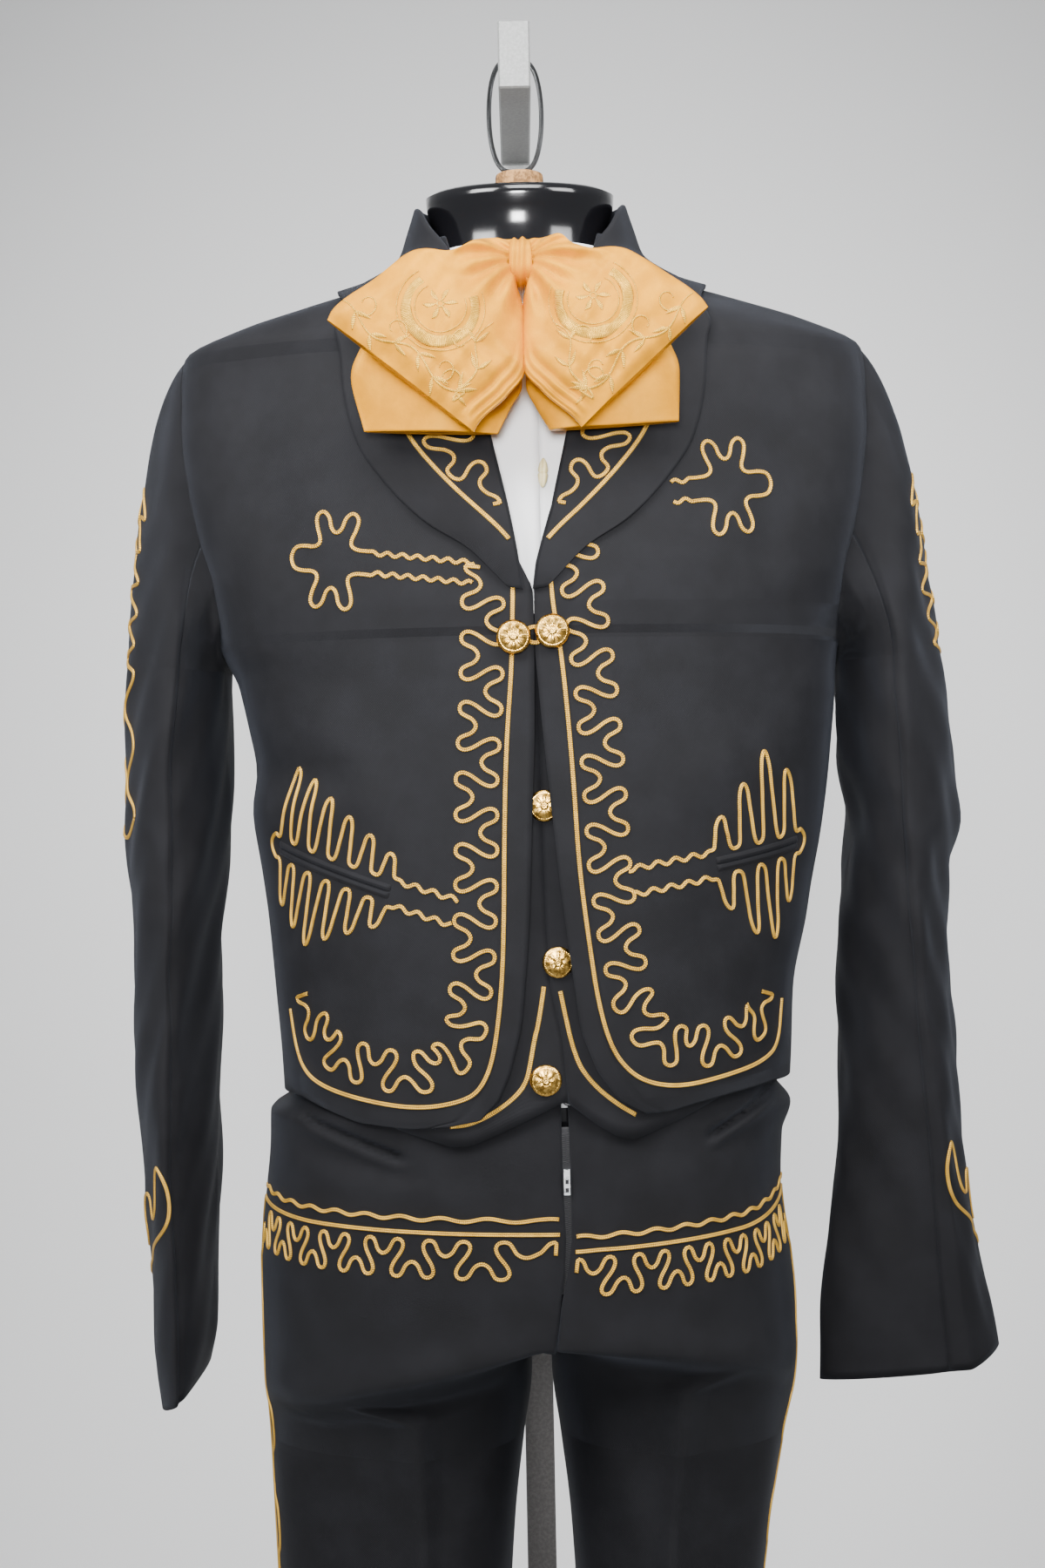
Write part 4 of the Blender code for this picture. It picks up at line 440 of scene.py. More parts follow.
cable = surface("hanging_cable", lambda u, v: tube(u, v, cable_shape, CABLE_R), 14, 150, wire,
                wide=1.0, long=0.20, merge=True)
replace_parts(cable, "cable_loop")

# ---------------------------------------------------------------- trousers
# Straight trousers of black twill in four panels, pressed with a crease down each front. The empty legs
# hang from the form's hip plate, so the cloth falls inward under it in a soft roll.
HIPS = (
    # z      right   left    front   back    square
    (0.740, 0.1800, 0.1570, 0.1000, 0.1050, 2.4),
    (0.800, 0.1825, 0.1675, 0.1150, 0.1120, 2.4),
    (0.840, 0.1835, 0.1680, 0.1220, 0.1150, 2.4),
    (0.880, 0.1835, 0.1650, 0.1228, 0.1150, 2.4),
    (0.920, 0.1800, 0.1600, 0.1220, 0.1130, 2.4),
    (0.955, 0.1765, 0.1615, 0.1205, 0.1065, 2.4),
    (0.974, 0.1760, 0.1675, 0.1195, 0.1035, 2.4),
    (0.988, 0.1585, 0.1585, 0.1185, 0.1012, 2.4),
    (1.004, 0.1572, 0.1572, 0.1185, 0.1000, 2.4),
    (1.034, 0.1568, 0.1568, 0.1198, 0.0985, 2.4),
)
LEG_LEFT = (
    # z      inseam  crease  side    front    back
    (0.022, 0.0300, 0.0780, 0.1280, -0.0640, 0.0680),
    (0.200, 0.0280, 0.0770, 0.1290, -0.0660, 0.0700),
    (0.400, 0.0260, 0.0760, 0.1320, -0.0700, 0.0740),
    (0.600, 0.0220, 0.0770, 0.1380, -0.0740, 0.0800),
    (0.700, 0.0175, 0.0800, 0.1490, -0.0780, 0.0840),
    (0.756, 0.0115, 0.0860, 0.1590, -0.0830, 0.0890),
    (0.800, 0.0065, 0.0890, 0.1675, -0.0900, 0.0940),
    (0.880, 0.0060, 0.0900, 0.1680, -0.1000, 0.1000),
)
LEG_RIGHT = (
    (0.022, 0.0380, 0.0910, 0.1580, -0.0640, 0.0680),
    (0.200, 0.0360, 0.0880, 0.1600, -0.0660, 0.0700),
    (0.400, 0.0320, 0.0840, 0.1660, -0.0700, 0.0740),
    (0.600, 0.0260, 0.0780, 0.1740, -0.0760, 0.0800),
    (0.700, 0.0195, 0.0770, 0.1780, -0.0800, 0.0840),
    (0.756, 0.0125, 0.0780, 0.1800, -0.0850, 0.0890),
    (0.800, 0.0065, 0.0790, 0.1825, -0.0920, 0.0940),
    (0.880, 0.0060, 0.0800, 0.1835, -0.1000, 0.1000),
)
FLY = (
    # z      middle of the fly opening, half its width
    (0.800, 0.0000, 0.0000),
    (0.840, 0.0090, 0.0000),
    (0.867, 0.0120, 0.0002),
    (0.885, 0.0155, 0.0010),
    (0.905, 0.0175, 0.0018),
    (0.940, 0.0170, 0.0027),
    (0.975, 0.0165, 0.0022),
    (1.034, 0.0155, 0.0010),
)
WOOL = 0.0016
HEM_Z = 0.022
CROTCH_Z = 0.830

twill = Finish("black_twill", (0.0165, 0.0175, 0.0215), 0.78, specular_ior_level=0.22,
               sheen_weight=0.05, sheen_roughness=0.35, sheen_tint=(0.55, 0.62, 0.80, 1.0))
weave_u, weave_v, _ = twill.split(twill.place("UV"))
rib = ((weave_u * 1.0 + weave_v * 1.7) * 6200.0).sin() * 0.5 + 0.5
lint = twill.cloud(34, 5, 0.6)
twill.colour(twill.blend(lint.between(0.3, 0.75), (0.0050, 0.0050, 0.0064), (0.0086, 0.0087, 0.0108)))
twill.roughness(rib * 0.10 + lint * 0.12 + 0.66)
twill.raise_by(rib * 0.6 + twill.cloud(1400, 2) * 0.5, 0.00012)


def column(table, z, k=1):
    """Straight-line reading of one column of a size table."""
    ordered = sorted(table)
    return np.interp(z, [row[0] for row in ordered], [row[k] for row in ordered])


def crowd(u, much=0.8):
    """Spreads grid lines closer together near both edges of a panel."""
    return u + ((0.5 - 0.5 * np.cos(np.pi * u)) - u) * much


def hill(x, wide):
    return np.exp(-((x / wide) ** 2))


def thick(piece, wall):
    """Gives a laid surface its cloth thickness, inward."""
    wool = piece.modifiers.new("cloth", "SOLIDIFY")
    wool.thickness = wall
    wool.offset = -1.0
    return piece


def creases(folds, middle=0.0):
    """How far a piece's broad folds push its points out."""
    def out(points):
        x, y, z = points[..., 0], points[..., 1], points[..., 2]
        high = np.zeros(x.shape)
        for face, x0, z0, x1, z1, wide, much in folds:
            dx, dz = x1 - x0, z1 - z0
            t = np.clip(((x - x0) * dx + (z - z0) * dz) / (dx * dx + dz * dz), 0, 1)
            far = np.hypot(x - x0 - t * dx, z - z0 - t * dz)
            high += much * hill(far, wide) * np.clip(-face * (y - middle) / 0.03, 0, 1)
        return high
    return out


hip_folds = creases((
    # face   x0      z0     x1      z1     wide    high
    (1, -0.150, 0.945, -0.050, 0.930, 0.012, 0.0022),
    (1, -0.145, 0.958, -0.075, 0.944, 0.008, -0.0024),
    (1, 0.060, 0.930, 0.140, 0.955, 0.012, 0.0016),
    (1, 0.012, 0.880, 0.060, 0.800, 0.016, 0.0020),
    (1, -0.010, 0.870, -0.070, 0.815, 0.018, 0.0018),
    (1, 0.030, 0.985, 0.036, 0.900, 0.008, -0.0012),
))
MOUTHS = {-1: (-0.1520, 0.9765, -0.0820, 0.9520), 1: (0.1040, 0.9605, 0.1540, 0.9860)}


def mouth_of(side, spot):
    """The slanting pocket mouth of a trouser front: a lip below, a gap above."""
    x0, z0, x1, z1 = MOUTHS[side]
    x, z = spot[..., 0], spot[..., 2]
    off = z - z0 - (z1 - z0) * (x - x0) / (x1 - x0)
    ends = np.clip((x - x0) / 0.006, 0, 1) * np.clip((x1 - x) / 0.006, 0, 1)
    return ends * (0.0026 * hill(off + 0.0038, 0.0032) - 0.0080 * hill(off - 0.0022, 0.0026))


def trouser(side, face):
    """Outer face of one trouser panel at q, 0 at the middle seam and 1 at the side seam, and height z."""
    leg = LEG_LEFT if side > 0 else LEG_RIGHT

    def place(q, z):
        middle = column(FLY, z, 1) + side * column(FLY, z, 2)
        inner = turned_to(HIPS, middle, z) if face > 0 else -90.0
        outer = 0.0 if side > 0 else 180.0 * face
        hip = ring(HIPS, inner + (outer - inner) * q, z)
        inseam, fold, out, front, back = through(leg, z)
        c = np.cos(np.pi * (1 - q))
        s = np.abs(np.sin(np.pi * (1 - q)))
        x = fold + np.where(c > 0, out - fold, fold - inseam) * c
        edge = front if face > 0 else back
        y = edge * s**0.9 * (1 - 0.10 * np.abs(c * s))
        y = y + np.sign(edge) * 0.0070 * np.maximum(0, 1 - np.abs(q - 0.5) / 0.06)
        low = np.stack([side * x, y, z], -1)
        reach = np.minimum(np.abs(hip[..., 0]) / 0.16, 1.0)
        sag = CROTCH_Z - (0.030 * reach**2 if side > 0 else 0.042 * reach)
        t = np.clip((sag + 0.008 - z) / 0.018, 0, 1)
        w = (t * t * (3 - 2 * t))[..., None]
        spot = hip + (low - hip) * w
        if face > 0:
            spot[..., 1] -= 0.0080 * hill(z - sag - 0.013, 0.013) * np.sin(np.pi * q) ** 0.5
            spot[..., 1] -= hip_folds(spot) + mouth_of(side, spot)
        seam = 0.0010 * (hill(q, 0.012) + hill(1 - q, 0.012))
        hem = 0.0008 * hill(z - HEM_Z - 0.030, 0.002)
        ripple = 0.0022 * np.sin(z * 26 + side * 1.3 + q * 5) * np.sin(q * 8.5 + z * 3 + side)
        ripple = ripple + 0.0012 * np.sin(z * 61 + q * 9) * np.sin(q * 14 - z * 7)
        ripple = ripple * w[..., 0] * np.sin(np.pi * q) ** 0.7
        spot[..., 1] += (1 if face < 0 else -1) * (ripple - seam - hem)
        return spot
    return place


TROUSER = {}
for word, side in (("left", 1), ("right", -1)):
    for part, face in (("front", 1), ("back", -1)):
        name = "trouser_%s_%s" % (part, word)
        TROUSER[name] = trouser(side, face)

        def panel(u, v, place=TROUSER[name], same=side * face > 0):
            q = crowd(u if same else 1 - u, 0.7)
            return place(q, np.interp(v, (0, 0.36, 1), (HEM_Z, 0.76, 1.0029)))

        across, along = (72, 190) if face > 0 else (36, 120)
        leg = surface("cloth_" + name, panel, across, along, twill, 0.26, 0.985)
        thick(leg, WOOL)
        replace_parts(leg, name)


WAIST_Z = 1.0030
WAISTBAND_HIGH = 0.031


def waistband(u, v):
    z = WAIST_Z + WAISTBAND_HIGH * v
    start = turned_to(HIPS, column(FLY, z, 1) + column(FLY, z, 2), z)
    end = turned_to(HIPS, column(FLY, z, 1) - column(FLY, z, 2), z) - 360
    return ring(HIPS, start + (end - start) * u, z)


band = thick(surface("cloth_waistband", waistband, 110, 8, twill, 0.92, WAISTBAND_HIGH), WOOL)
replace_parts(band, "trouser_waistband")

# ---------------------------------------------------------------- zip of the trousers
# A zip with dark metal teeth on dark tape behind the fly, open above its slider. The slider and its small
# pull tab are nickel.
TAPE_Z = 0.872
TAPE_LONG = 0.102
TAPE_WIDE = 0.013
TEETH = 74
TOOTH_STEP = 0.00128
FIRST_TOOTH_Z = 0.8760
SLIDER_Z = 0.9435
dark_tape = Finish("zip_tape_cloth", (0.020, 0.020, 0.023), 0.9, sheen_weight=0.2)
tape_u, tape_v, _ = dark_tape.split(dark_tape.place("UV"))
dark_tape.raise_by((tape_v * 9000.0).sin() * (tape_u * 9000.0).sin(), 0.0001)
dark_tape.colour(dark_tape.blend(dark_tape.cloud(300, 3), (0.014, 0.014, 0.016), (0.034, 0.034, 0.038)))


def tape(u, v):
    z = TAPE_Z + TAPE_LONG * v
    return skin(HIPS, turned_to(HIPS, column(FLY, z, 1) + (u - 0.5) * TAPE_WIDE, z), z, -WOOL - 0.0006)


strip = thick(surface("cloth_zip_tape", tape, 12, 60, dark_tape, TAPE_WIDE, TAPE_LONG), 0.0008)
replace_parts(strip, "zip_tape")

nickel = Finish("zip_nickel", (0.62, 0.63, 0.65), 0.30, 1.0)
nickel.roughness(nickel.cloud(900, 4) * 0.25 + 0.18)
nickel.raise_by(nickel.cloud(1500, 2), 0.00003)
for name in ("zip_slider", "zip_pull_tab"):
    bpy.data.objects[name].data.materials.clear()
    bpy.data.objects[name].data.materials.append(nickel.material)

gunmetal = Finish("zip_teeth_gunmetal", (0.020, 0.020, 0.022), 0.40, 0.6)
gunmetal.roughness(gunmetal.cloud(900, 4) * 0.25 + 0.30)
tooth_mesh = bmesh.new()
for k in range(TEETH):
    for side in (-1, 1):
        z = FIRST_TOOTH_Z + TOOTH_STEP * k + TOOTH_STEP / 2 * (side > 0)
        if abs(z - SLIDER_Z) < 0.0075:
            continue
        apart = 0.0009 + 0.0012 * min(max((z - SLIDER_Z - 0.0070) / 0.03, 0.0), 1.0)
        x = float(column(FLY, z, 1)) + side * apart
        spot = skin(HIPS, turned_to(HIPS, np.array(x), np.array(z)), np.array(z), -WOOL) - MIDDLE
        made = bmesh.ops.create_cube(tooth_mesh, size=1.0)["verts"]
        bmesh.ops.scale(tooth_mesh, verts=made, vec=(0.0016, 0.0011, 0.0008))
        bmesh.ops.translate(tooth_mesh, verts=made, vec=Vector(spot))
teeth_mesh = bpy.data.meshes.new("zip_teeth")
tooth_mesh.to_mesh(teeth_mesh)
tooth_mesh.free()
teeth = bpy.data.objects.new("zip_teeth", teeth_mesh)
room.collection.objects.link(teeth)
teeth.data.materials.append(gunmetal.material)
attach(teeth, REST)

# ---------------------------------------------------------------- shirt
# A white cotton shirt in two fronts and a back, with a stand collar. It has no sleeves here and hangs on
# the form under the vest.
COTTON = 0.0012
SHIRT_Z = 0.985
SHIRT_LONG = 0.526
COLLAR_Z = 1.5135
COLLAR_HIGH = 0.0195
PLACKET_X = 0.0085
ARMPIT_Z = 1.275
SHOULDER_Z = 1.468
ARMHOLE = (
    # z      front   back
    (1.468, 0.0, 0.0),
    (1.458, 9.0, 8.0),
    (1.431, 14.5, 13.0),
    (1.395, 17.5, 16.0),
    (1.355, 21.0, 19.0),
    (1.320, 23.0, 20.0),
    (1.295, 19.0, 17.0),
    (1.281, 10.5, 10.0),
    (1.275, 0.0, 0.0),
)
cotton = Finish("white_cotton", (0.90, 0.90, 0.92), 0.85, sheen_weight=0.15)
thread_u, thread_v, _ = cotton.split(cotton.place("UV"))
cotton.raise_by((thread_u * 11000.0).sin() * (thread_v * 11000.0).sin() * 0.5 + cotton.cloud(240, 4), 0.0001)
cotton.colour(cotton.blend(cotton.cloud(22, 4), (0.91, 0.92, 0.94), (0.96, 0.96, 0.97)))


def hole(low, high, z, k, wider):
    """Armhole turn of an inner layer: the jacket's own armhole, scaled to this layer's height."""
    t = np.clip((z - low) / (high - low), 0, 1)
    turn = column(ARMHOLE, ARMPIT_Z + t * (SHOULDER_Z - ARMPIT_Z), k)
    return turn * wider * np.minimum(1.0, np.maximum(z - low, 0) / 0.08) * (z < high)


def turn_across(side, edge, open_turn, u):
    """Turn at u across a front, between its front edge and its armhole."""
    if side > 0:
        return edge + (open_turn - edge) * u
    return 180 - open_turn + (edge - 180 + open_turn) * u


def shirt_front(side):
    def place(u, v):
        z = SHIRT_Z + SHIRT_LONG * v
        u = crowd(u, 0.6)
        seam = turned_to(FORM, PLACKET_X, z)
        open_turn = hole(1.262, 1.460, z, 1, 1.35)
        turn = turn_across(side, seam, open_turn, u)
        from_edge = u if side > 0 else 1 - u
        fold = 0.0006 * np.sin(z * 47 + 1.2 * side) * np.sin(from_edge * 21 + z * 9)
        return skin(FORM, turn, z, 0.0020 + fold * (from_edge > 0.01))
    return place


def shirt_back(u, v):
    z = SHIRT_Z + SHIRT_LONG * v
    open_turn = hole(1.262, 1.460, z, 2, 1.35)
    return skin(FORM, -open_turn - (180 - 2 * open_turn) * u, z, 0.0020)


for word, side in (("left", 1), ("right", -1)):
    front = thick(surface("cloth_shirt_front_" + word, shirt_front(side), 40, 90, cotton, 0.23, 0.53), COTTON)
    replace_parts(front, "shirt_front_" + word)
back = thick(surface("cloth_shirt_back", shirt_back, 40, 54, cotton, 0.42, 0.53), COTTON)
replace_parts(back, "shirt_back")


def shirt_collar(u, v):
    z = COLLAR_Z + COLLAR_HIGH * v
    start = turned_to(FORM, PLACKET_X, z)
    return skin(FORM, start - 359.4 * u, z, 0.0015)


collar = thick(surface("cloth_shirt_collar", shirt_collar, 100, 8, cotton, 0.40, 0.02), COTTON)
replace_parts(collar, "shirt_collar")

# ---------------------------------------------------------------- vest
# A black vest in two fronts and a back, with a pointed hem. The fronts meet where the left one laps over.
VEST = (
    # z      right   left    front   back    square
    (0.955, 0.1630, 0.1630, 0.1248, 0.1083, 2.4),
    (0.990, 0.1625, 0.1625, 0.1238, 0.1080, 2.4),
    (1.050, 0.1600, 0.1600, 0.1245, 0.1077, 2.4),
    (1.120, 0.1650, 0.1680, 0.1270, 0.1077, 2.4),
    (1.200, 0.1735, 0.1810, 0.1300, 0.1110, 2.4),
    (1.280, 0.1915, 0.1935, 0.1300, 0.1175, 2.4),
    (1.340, 0.2085, 0.2085, 0.1240, 0.1215, 2.4),
    (1.400, 0.2175, 0.2175, 0.1120, 0.1205, 2.4),
    (1.435, 0.2170, 0.2170, 0.0998, 0.1145, 2.4),
    (1.4645, 0.2060, 0.2060, 0.0900, 0.1060, 2.4),
    (1.4800, 0.1795, 0.1795, 0.0838, 0.0980, 2.4),
    (1.4930, 0.1415, 0.1415, 0.0775, 0.0885, 2.4),
    (1.5060, 0.1035, 0.1035, 0.0705, 0.0780, 2.4),
    (1.5230, 0.0755, 0.0755, 0.0640, 0.0680, 2.2),
)
VEST_EDGE = (
    # z      x of the lapped front
    (0.955, 0.0195),
    (0.993, 0.0187),
    (1.030, 0.0157),
    (1.062, 0.0090),
    (1.100, 0.0070),
    (1.200, 0.0050),
    (1.290, 0.0040),
)
VEST_HEM = (
    # x      z of the pointed hem
    (-0.170, 0.9980),
    (-0.120, 0.9890),
    (-0.085, 0.9730),
    (-0.050, 0.9625),
    (-0.0375, 0.9654),
    (-0.0107, 0.9770),
    (0.0170, 0.9905),
    (0.0370, 0.9750),
    (0.0503, 0.9669),
    (0.0600, 0.9660),
    (0.0890, 0.9770),
    (0.1167, 0.9896),
    (0.1700, 0.9980),
)
ROLL = (
    # z      turn of the jacket's roll line from the side line
    (1.301, 89.75),
    (1.340, 88.9),
    (1.400, 86.5),
    (1.450, 84.3),
    (1.490, 79.4),
    (1.520, 63.0),
    (1.548, 46.0),
)
VEST_WOOL = 0.0015
VEST_Z = 0.993
VEST_LONG = 0.513
VEST_V_Z = 1.29
VEST_ARMPIT_Z = 1.262
VEST_SHOULDER_Z = 1.4645


def vest_neck(z):
    """Turn of the vest's front edge: the lapped front below, the open V above."""
    low = turned_to(VEST, column(VEST_EDGE, z), z)
    under_roll = column(ROLL, z + 0.006) - 4.5 * np.clip((z - VEST_V_Z) / 0.05, 0, 1)
    high = np.minimum(turned_to(VEST, 0.0040, z), under_roll)
    return np.where(z < VEST_V_Z, low, high)


def vest_front(side):
    def place(u, v):
        z = VEST_Z + VEST_LONG * v
        u = crowd(u, 0.7)
        edge = vest_neck(z)
        open_turn = hole(VEST_ARMPIT_Z, VEST_SHOULDER_Z, z, 1, 1.25)
        if side < 0:
            edge = np.where(z < VEST_V_Z, edge, 180 - edge)
        turn = turn_across(side, edge, open_turn, u)
        x = ring(VEST, turn, z)[..., 0]
        drop = (column(VEST_HEM, x) - VEST_Z) * np.clip(1 - (z - VEST_Z) / 0.08, 0, 1)
        return skin(VEST, turn, z + drop, 0.0)
    return place


def vest_back(u, v):
    z = VEST_Z + VEST_LONG * v
    open_turn = hole(VEST_ARMPIT_Z, VEST_SHOULDER_Z, z, 2, 1.25)
    z = z + 0.005 * np.clip(1 - (z - VEST_Z) / 0.08, 0, 1)
    return skin(VEST, -open_turn - (180 - 2 * open_turn) * u, z)


for word, side in (("left", 1), ("right", -1)):
    front = thick(surface("cloth_vest_front_" + word, vest_front(side), 40, 80, twill, 0.24, 0.51), VEST_WOOL)
    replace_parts(front, "vest_front_" + word)
back = thick(surface("cloth_vest_back", vest_back, 40, 60, twill, 0.44, 0.51), VEST_WOOL)
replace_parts(back, "vest_back")

# ---------------------------------------------------------------- jacket body
# A short black jacket cut to the hips in two fronts and a back. Its fronts fall away from the two linked
# buttons in a curve.
JACKET = (
    # z      right   left    front   back    square
    (0.955, 0.1655, 0.1660, 0.1275, 0.1120, 2.4),
    (0.975, 0.1660, 0.1665, 0.1280, 0.1120, 2.4),
    (1.010, 0.1675, 0.1685, 0.1300, 0.1120, 2.4),
    (1.050, 0.1705, 0.1705, 0.1315, 0.1122, 2.4),
    (1.100, 0.1745, 0.1815, 0.1340, 0.1130, 2.4),
    (1.150, 0.1800, 0.1905, 0.1360, 0.1150, 2.4),
    (1.200, 0.1820, 0.1970, 0.1375, 0.1180, 2.4),
    (1.250, 0.1880, 0.2000, 0.1375, 0.1220, 2.4),
    (1.275, 0.2000, 0.2045, 0.1365, 0.1245, 2.4),
    (1.320, 0.2175, 0.2185, 0.1335, 0.1265, 2.4),
    (1.370, 0.2285, 0.2285, 0.1255, 0.1270, 2.4),
    (1.410, 0.2310, 0.2310, 0.1150, 0.1250, 2.4),
    (1.440, 0.2290, 0.2290, 0.1035, 0.1190, 2.4),
    (1.468, 0.2240, 0.2240, 0.0920, 0.1100, 2.4),
    (1.484, 0.1920, 0.1920, 0.0860, 0.1020, 2.4),
    (1.497, 0.1500, 0.1500, 0.0800, 0.0920, 2.4),
    (1.510, 0.1070, 0.1070, 0.0740, 0.0820, 2.4),
    (1.530, 0.0785, 0.0785, 0.0670, 0.0725, 2.3),
    (1.548, 0.0720, 0.0720, 0.0640, 0.0680, 2.2),
    (1.575, 0.0635, 0.0635, 0.0620, 0.0655, 2.1),
)
EDGE_LEFT = (
    # z      x
    (0.9820, 0.0660),
    (0.9907, 0.0503),
    (1.0078, 0.0375),
    (1.0330, 0.0274),
    (1.0752, 0.0219),
    (1.1230, 0.0160),
    (1.1620, 0.0124),
    (1.2127, 0.0076),
    (1.2635, 0.0036),
    (1.3010, 0.0036),
)
EDGE_RIGHT = (
    (0.9760, -0.0560),
    (0.9800, -0.0354),
    (0.9921, -0.0236),
    (1.0089, -0.0164),
    (1.0372, -0.0090),
    (1.0757, -0.0051),
    (1.1021, -0.0030),
    (1.1622, -0.0002),
    (1.2128, 0.0022),
    (1.2598, 0.0030),
    (1.3010, 0.0030),
)
HEM_LEFT = (
    # x      z of the jacket hem
    (0.0660, 0.9820),
    (0.0800, 0.9822),
    (0.0973, 0.9863),
    (0.1211, 0.9905),
    (0.1482, 0.9940),
    (0.1700, 0.9930),
)
HEM_RIGHT = (
    (-0.1700, 0.9890),
    (-0.1500, 0.9900),
    (-0.1361, 0.9850),
    (-0.1115, 0.9772),
    (-0.0800, 0.9745),
    (-0.0560, 0.9760),
)
FOLDS = (
    # face   x0      z0     x1      z1     wide    high
    (1, -0.196, 1.262, -0.120, 1.210, 0.026, 0.0030),
    (1, -0.186, 1.168, -0.110, 1.176, 0.022, 0.0030),
    (1, -0.178, 1.198, -0.120, 1.190, 0.014, -0.0026),
    (1, 0.185, 1.240, 0.115, 1.185, 0.026, 0.0026),
    (1, 0.170, 1.120, 0.110, 1.090, 0.024, -0.0022),
    (1, -0.150, 1.330, -0.175, 1.440, 0.022, -0.0024),
    (1, 0.150, 1.330, 0.175, 1.440, 0.022, -0.0024),
    (-1, -0.140, 1.200, -0.030, 1.120, 0.030, 0.0030),
    (-1, 0.140, 1.200, 0.030, 1.120, 0.030, 0.0030),
    (-1, 0.000, 1.060, 0.000, 1.250, 0.030, -0.0030),
)
ROLL_Z = 1.301
body_folds = creases(FOLDS)
ARMHOLE_ZS = tuple(sorted(row[0] for row in ARMHOLE))
BODY_ZS = (1.033, 1.0752, 1.123, 1.170, 1.215, 1.250) + ARMHOLE_ZS + (1.486, 1.506, 1.522, 1.538)


def arm_turn(z, k):
    return np.where((z > ARMPIT_Z) & (z < SHOULDER_Z), column(ARMHOLE, z, k), 0.0)


def spread(v, zs):
    return np.interp(v, np.linspace(0, 1, len(zs)), zs)


def jacket_front(side):
    edge_table = EDGE_LEFT if side > 0 else EDGE_RIGHT
    hem_table = HEM_LEFT if side > 0 else HEM_RIGHT
    zs = ((0.9820, 0.9907, 1.0078) if side > 0 else (0.9760, 0.9800, 0.9921, 1.0089)) + BODY_ZS

    def place(u, v):
        z = spread(v, zs)
        u = crowd(u, 0.6)
        under_roll = np.minimum(z, ROLL_Z)
        low = turned_to(JACKET, column(edge_table, under_roll), under_roll)
        roll = column(ROLL, z) - np.clip((z - 1.31) / 0.04, 0, 1) if side > 0 else 180 - column(ROLL, z)
        edge = low + (roll - low) * np.clip((z - ROLL_Z) / 0.02, 0, 1)
        open_turn = arm_turn(z, 1)
        turn = turn_across(side, edge, open_turn, u)
        x = ring(JACKET, turn, z)[..., 0]
        drop = (column(hem_table, x) - zs[0]) * np.clip(1 - (z - zs[0]) / 0.07, 0, 1)
        seam = 0.0012 * hill(1 - u if side > 0 else u, 0.012)
        seam = seam + 0.0008 * hill(np.abs(turn - edge) * 0.0021 - 0.0085, 0.0012)
        return skin(JACKET, turn, z + drop, -seam, body_folds)
    return place


def jacket_back(u, v):
    z = spread(v, (0.988, 1.050, 1.110) + BODY_ZS[3:])
    u = crowd(u, 0.5)
    open_turn = arm_turn(z, 2)
    seam = 0.0012 * (hill(u, 0.008) + hill(1 - u, 0.008)) + 0.0009 * hill(u - 0.5, 0.003)
    return skin(JACKET, -open_turn - (180 - 2 * open_turn) * u, z, -seam, body_folds)


for word, side in (("left", 1), ("right", -1)):
    front = thick(surface("cloth_jacket_front_" + word, jacket_front(side), 64, 120, twill, 0.27, 0.56), WOOL)
    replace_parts(front, "jacket_front_" + word)
back = thick(surface("cloth_jacket_back", jacket_back, 64, 84, twill, 0.46, 0.55), WOOL)
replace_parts(back, "jacket_back")

# ---------------------------------------------------------------- shawl collar
# One long rolled collar in two halves that meet at the middle of the back, its tips ending at the buttons.
SHAWL = (
    # inner z, turn;  outer z, turn
    (1.3030, 89.6, 1.3045, 88.2),
    (1.3280, 89.1, 1.3280, 83.6),
    (1.3560, 88.3, 1.3457, 77.6),
    (1.3850, 87.2, 1.3700, 72.0),
    (1.4120, 86.1, 1.3956, 67.7),
    (1.4400, 84.8, 1.4280, 65.2),
    (1.4680, 82.5, 1.4620, 63.5),
    (1.4950, 77.5, 1.4870, 56.0),
    (1.5200, 63.0, 1.4990, 38.0),
    (1.5420, 42.0, 1.5050, 18.0),
    (1.5600, 20.0, 1.5065, 4.0),
    (1.5660, 0.0, 1.5090, -12.0),
    (1.5690, -20.0, 1.5120, -27.0),
    (1.5700, -40.0, 1.5160, -43.0),
    (1.5700, -57.0, 1.5190, -58.0),
    (1.5700, -73.0, 1.5210, -74.0),
    (1.5700, -89.93, 1.5220, -89.93),
)


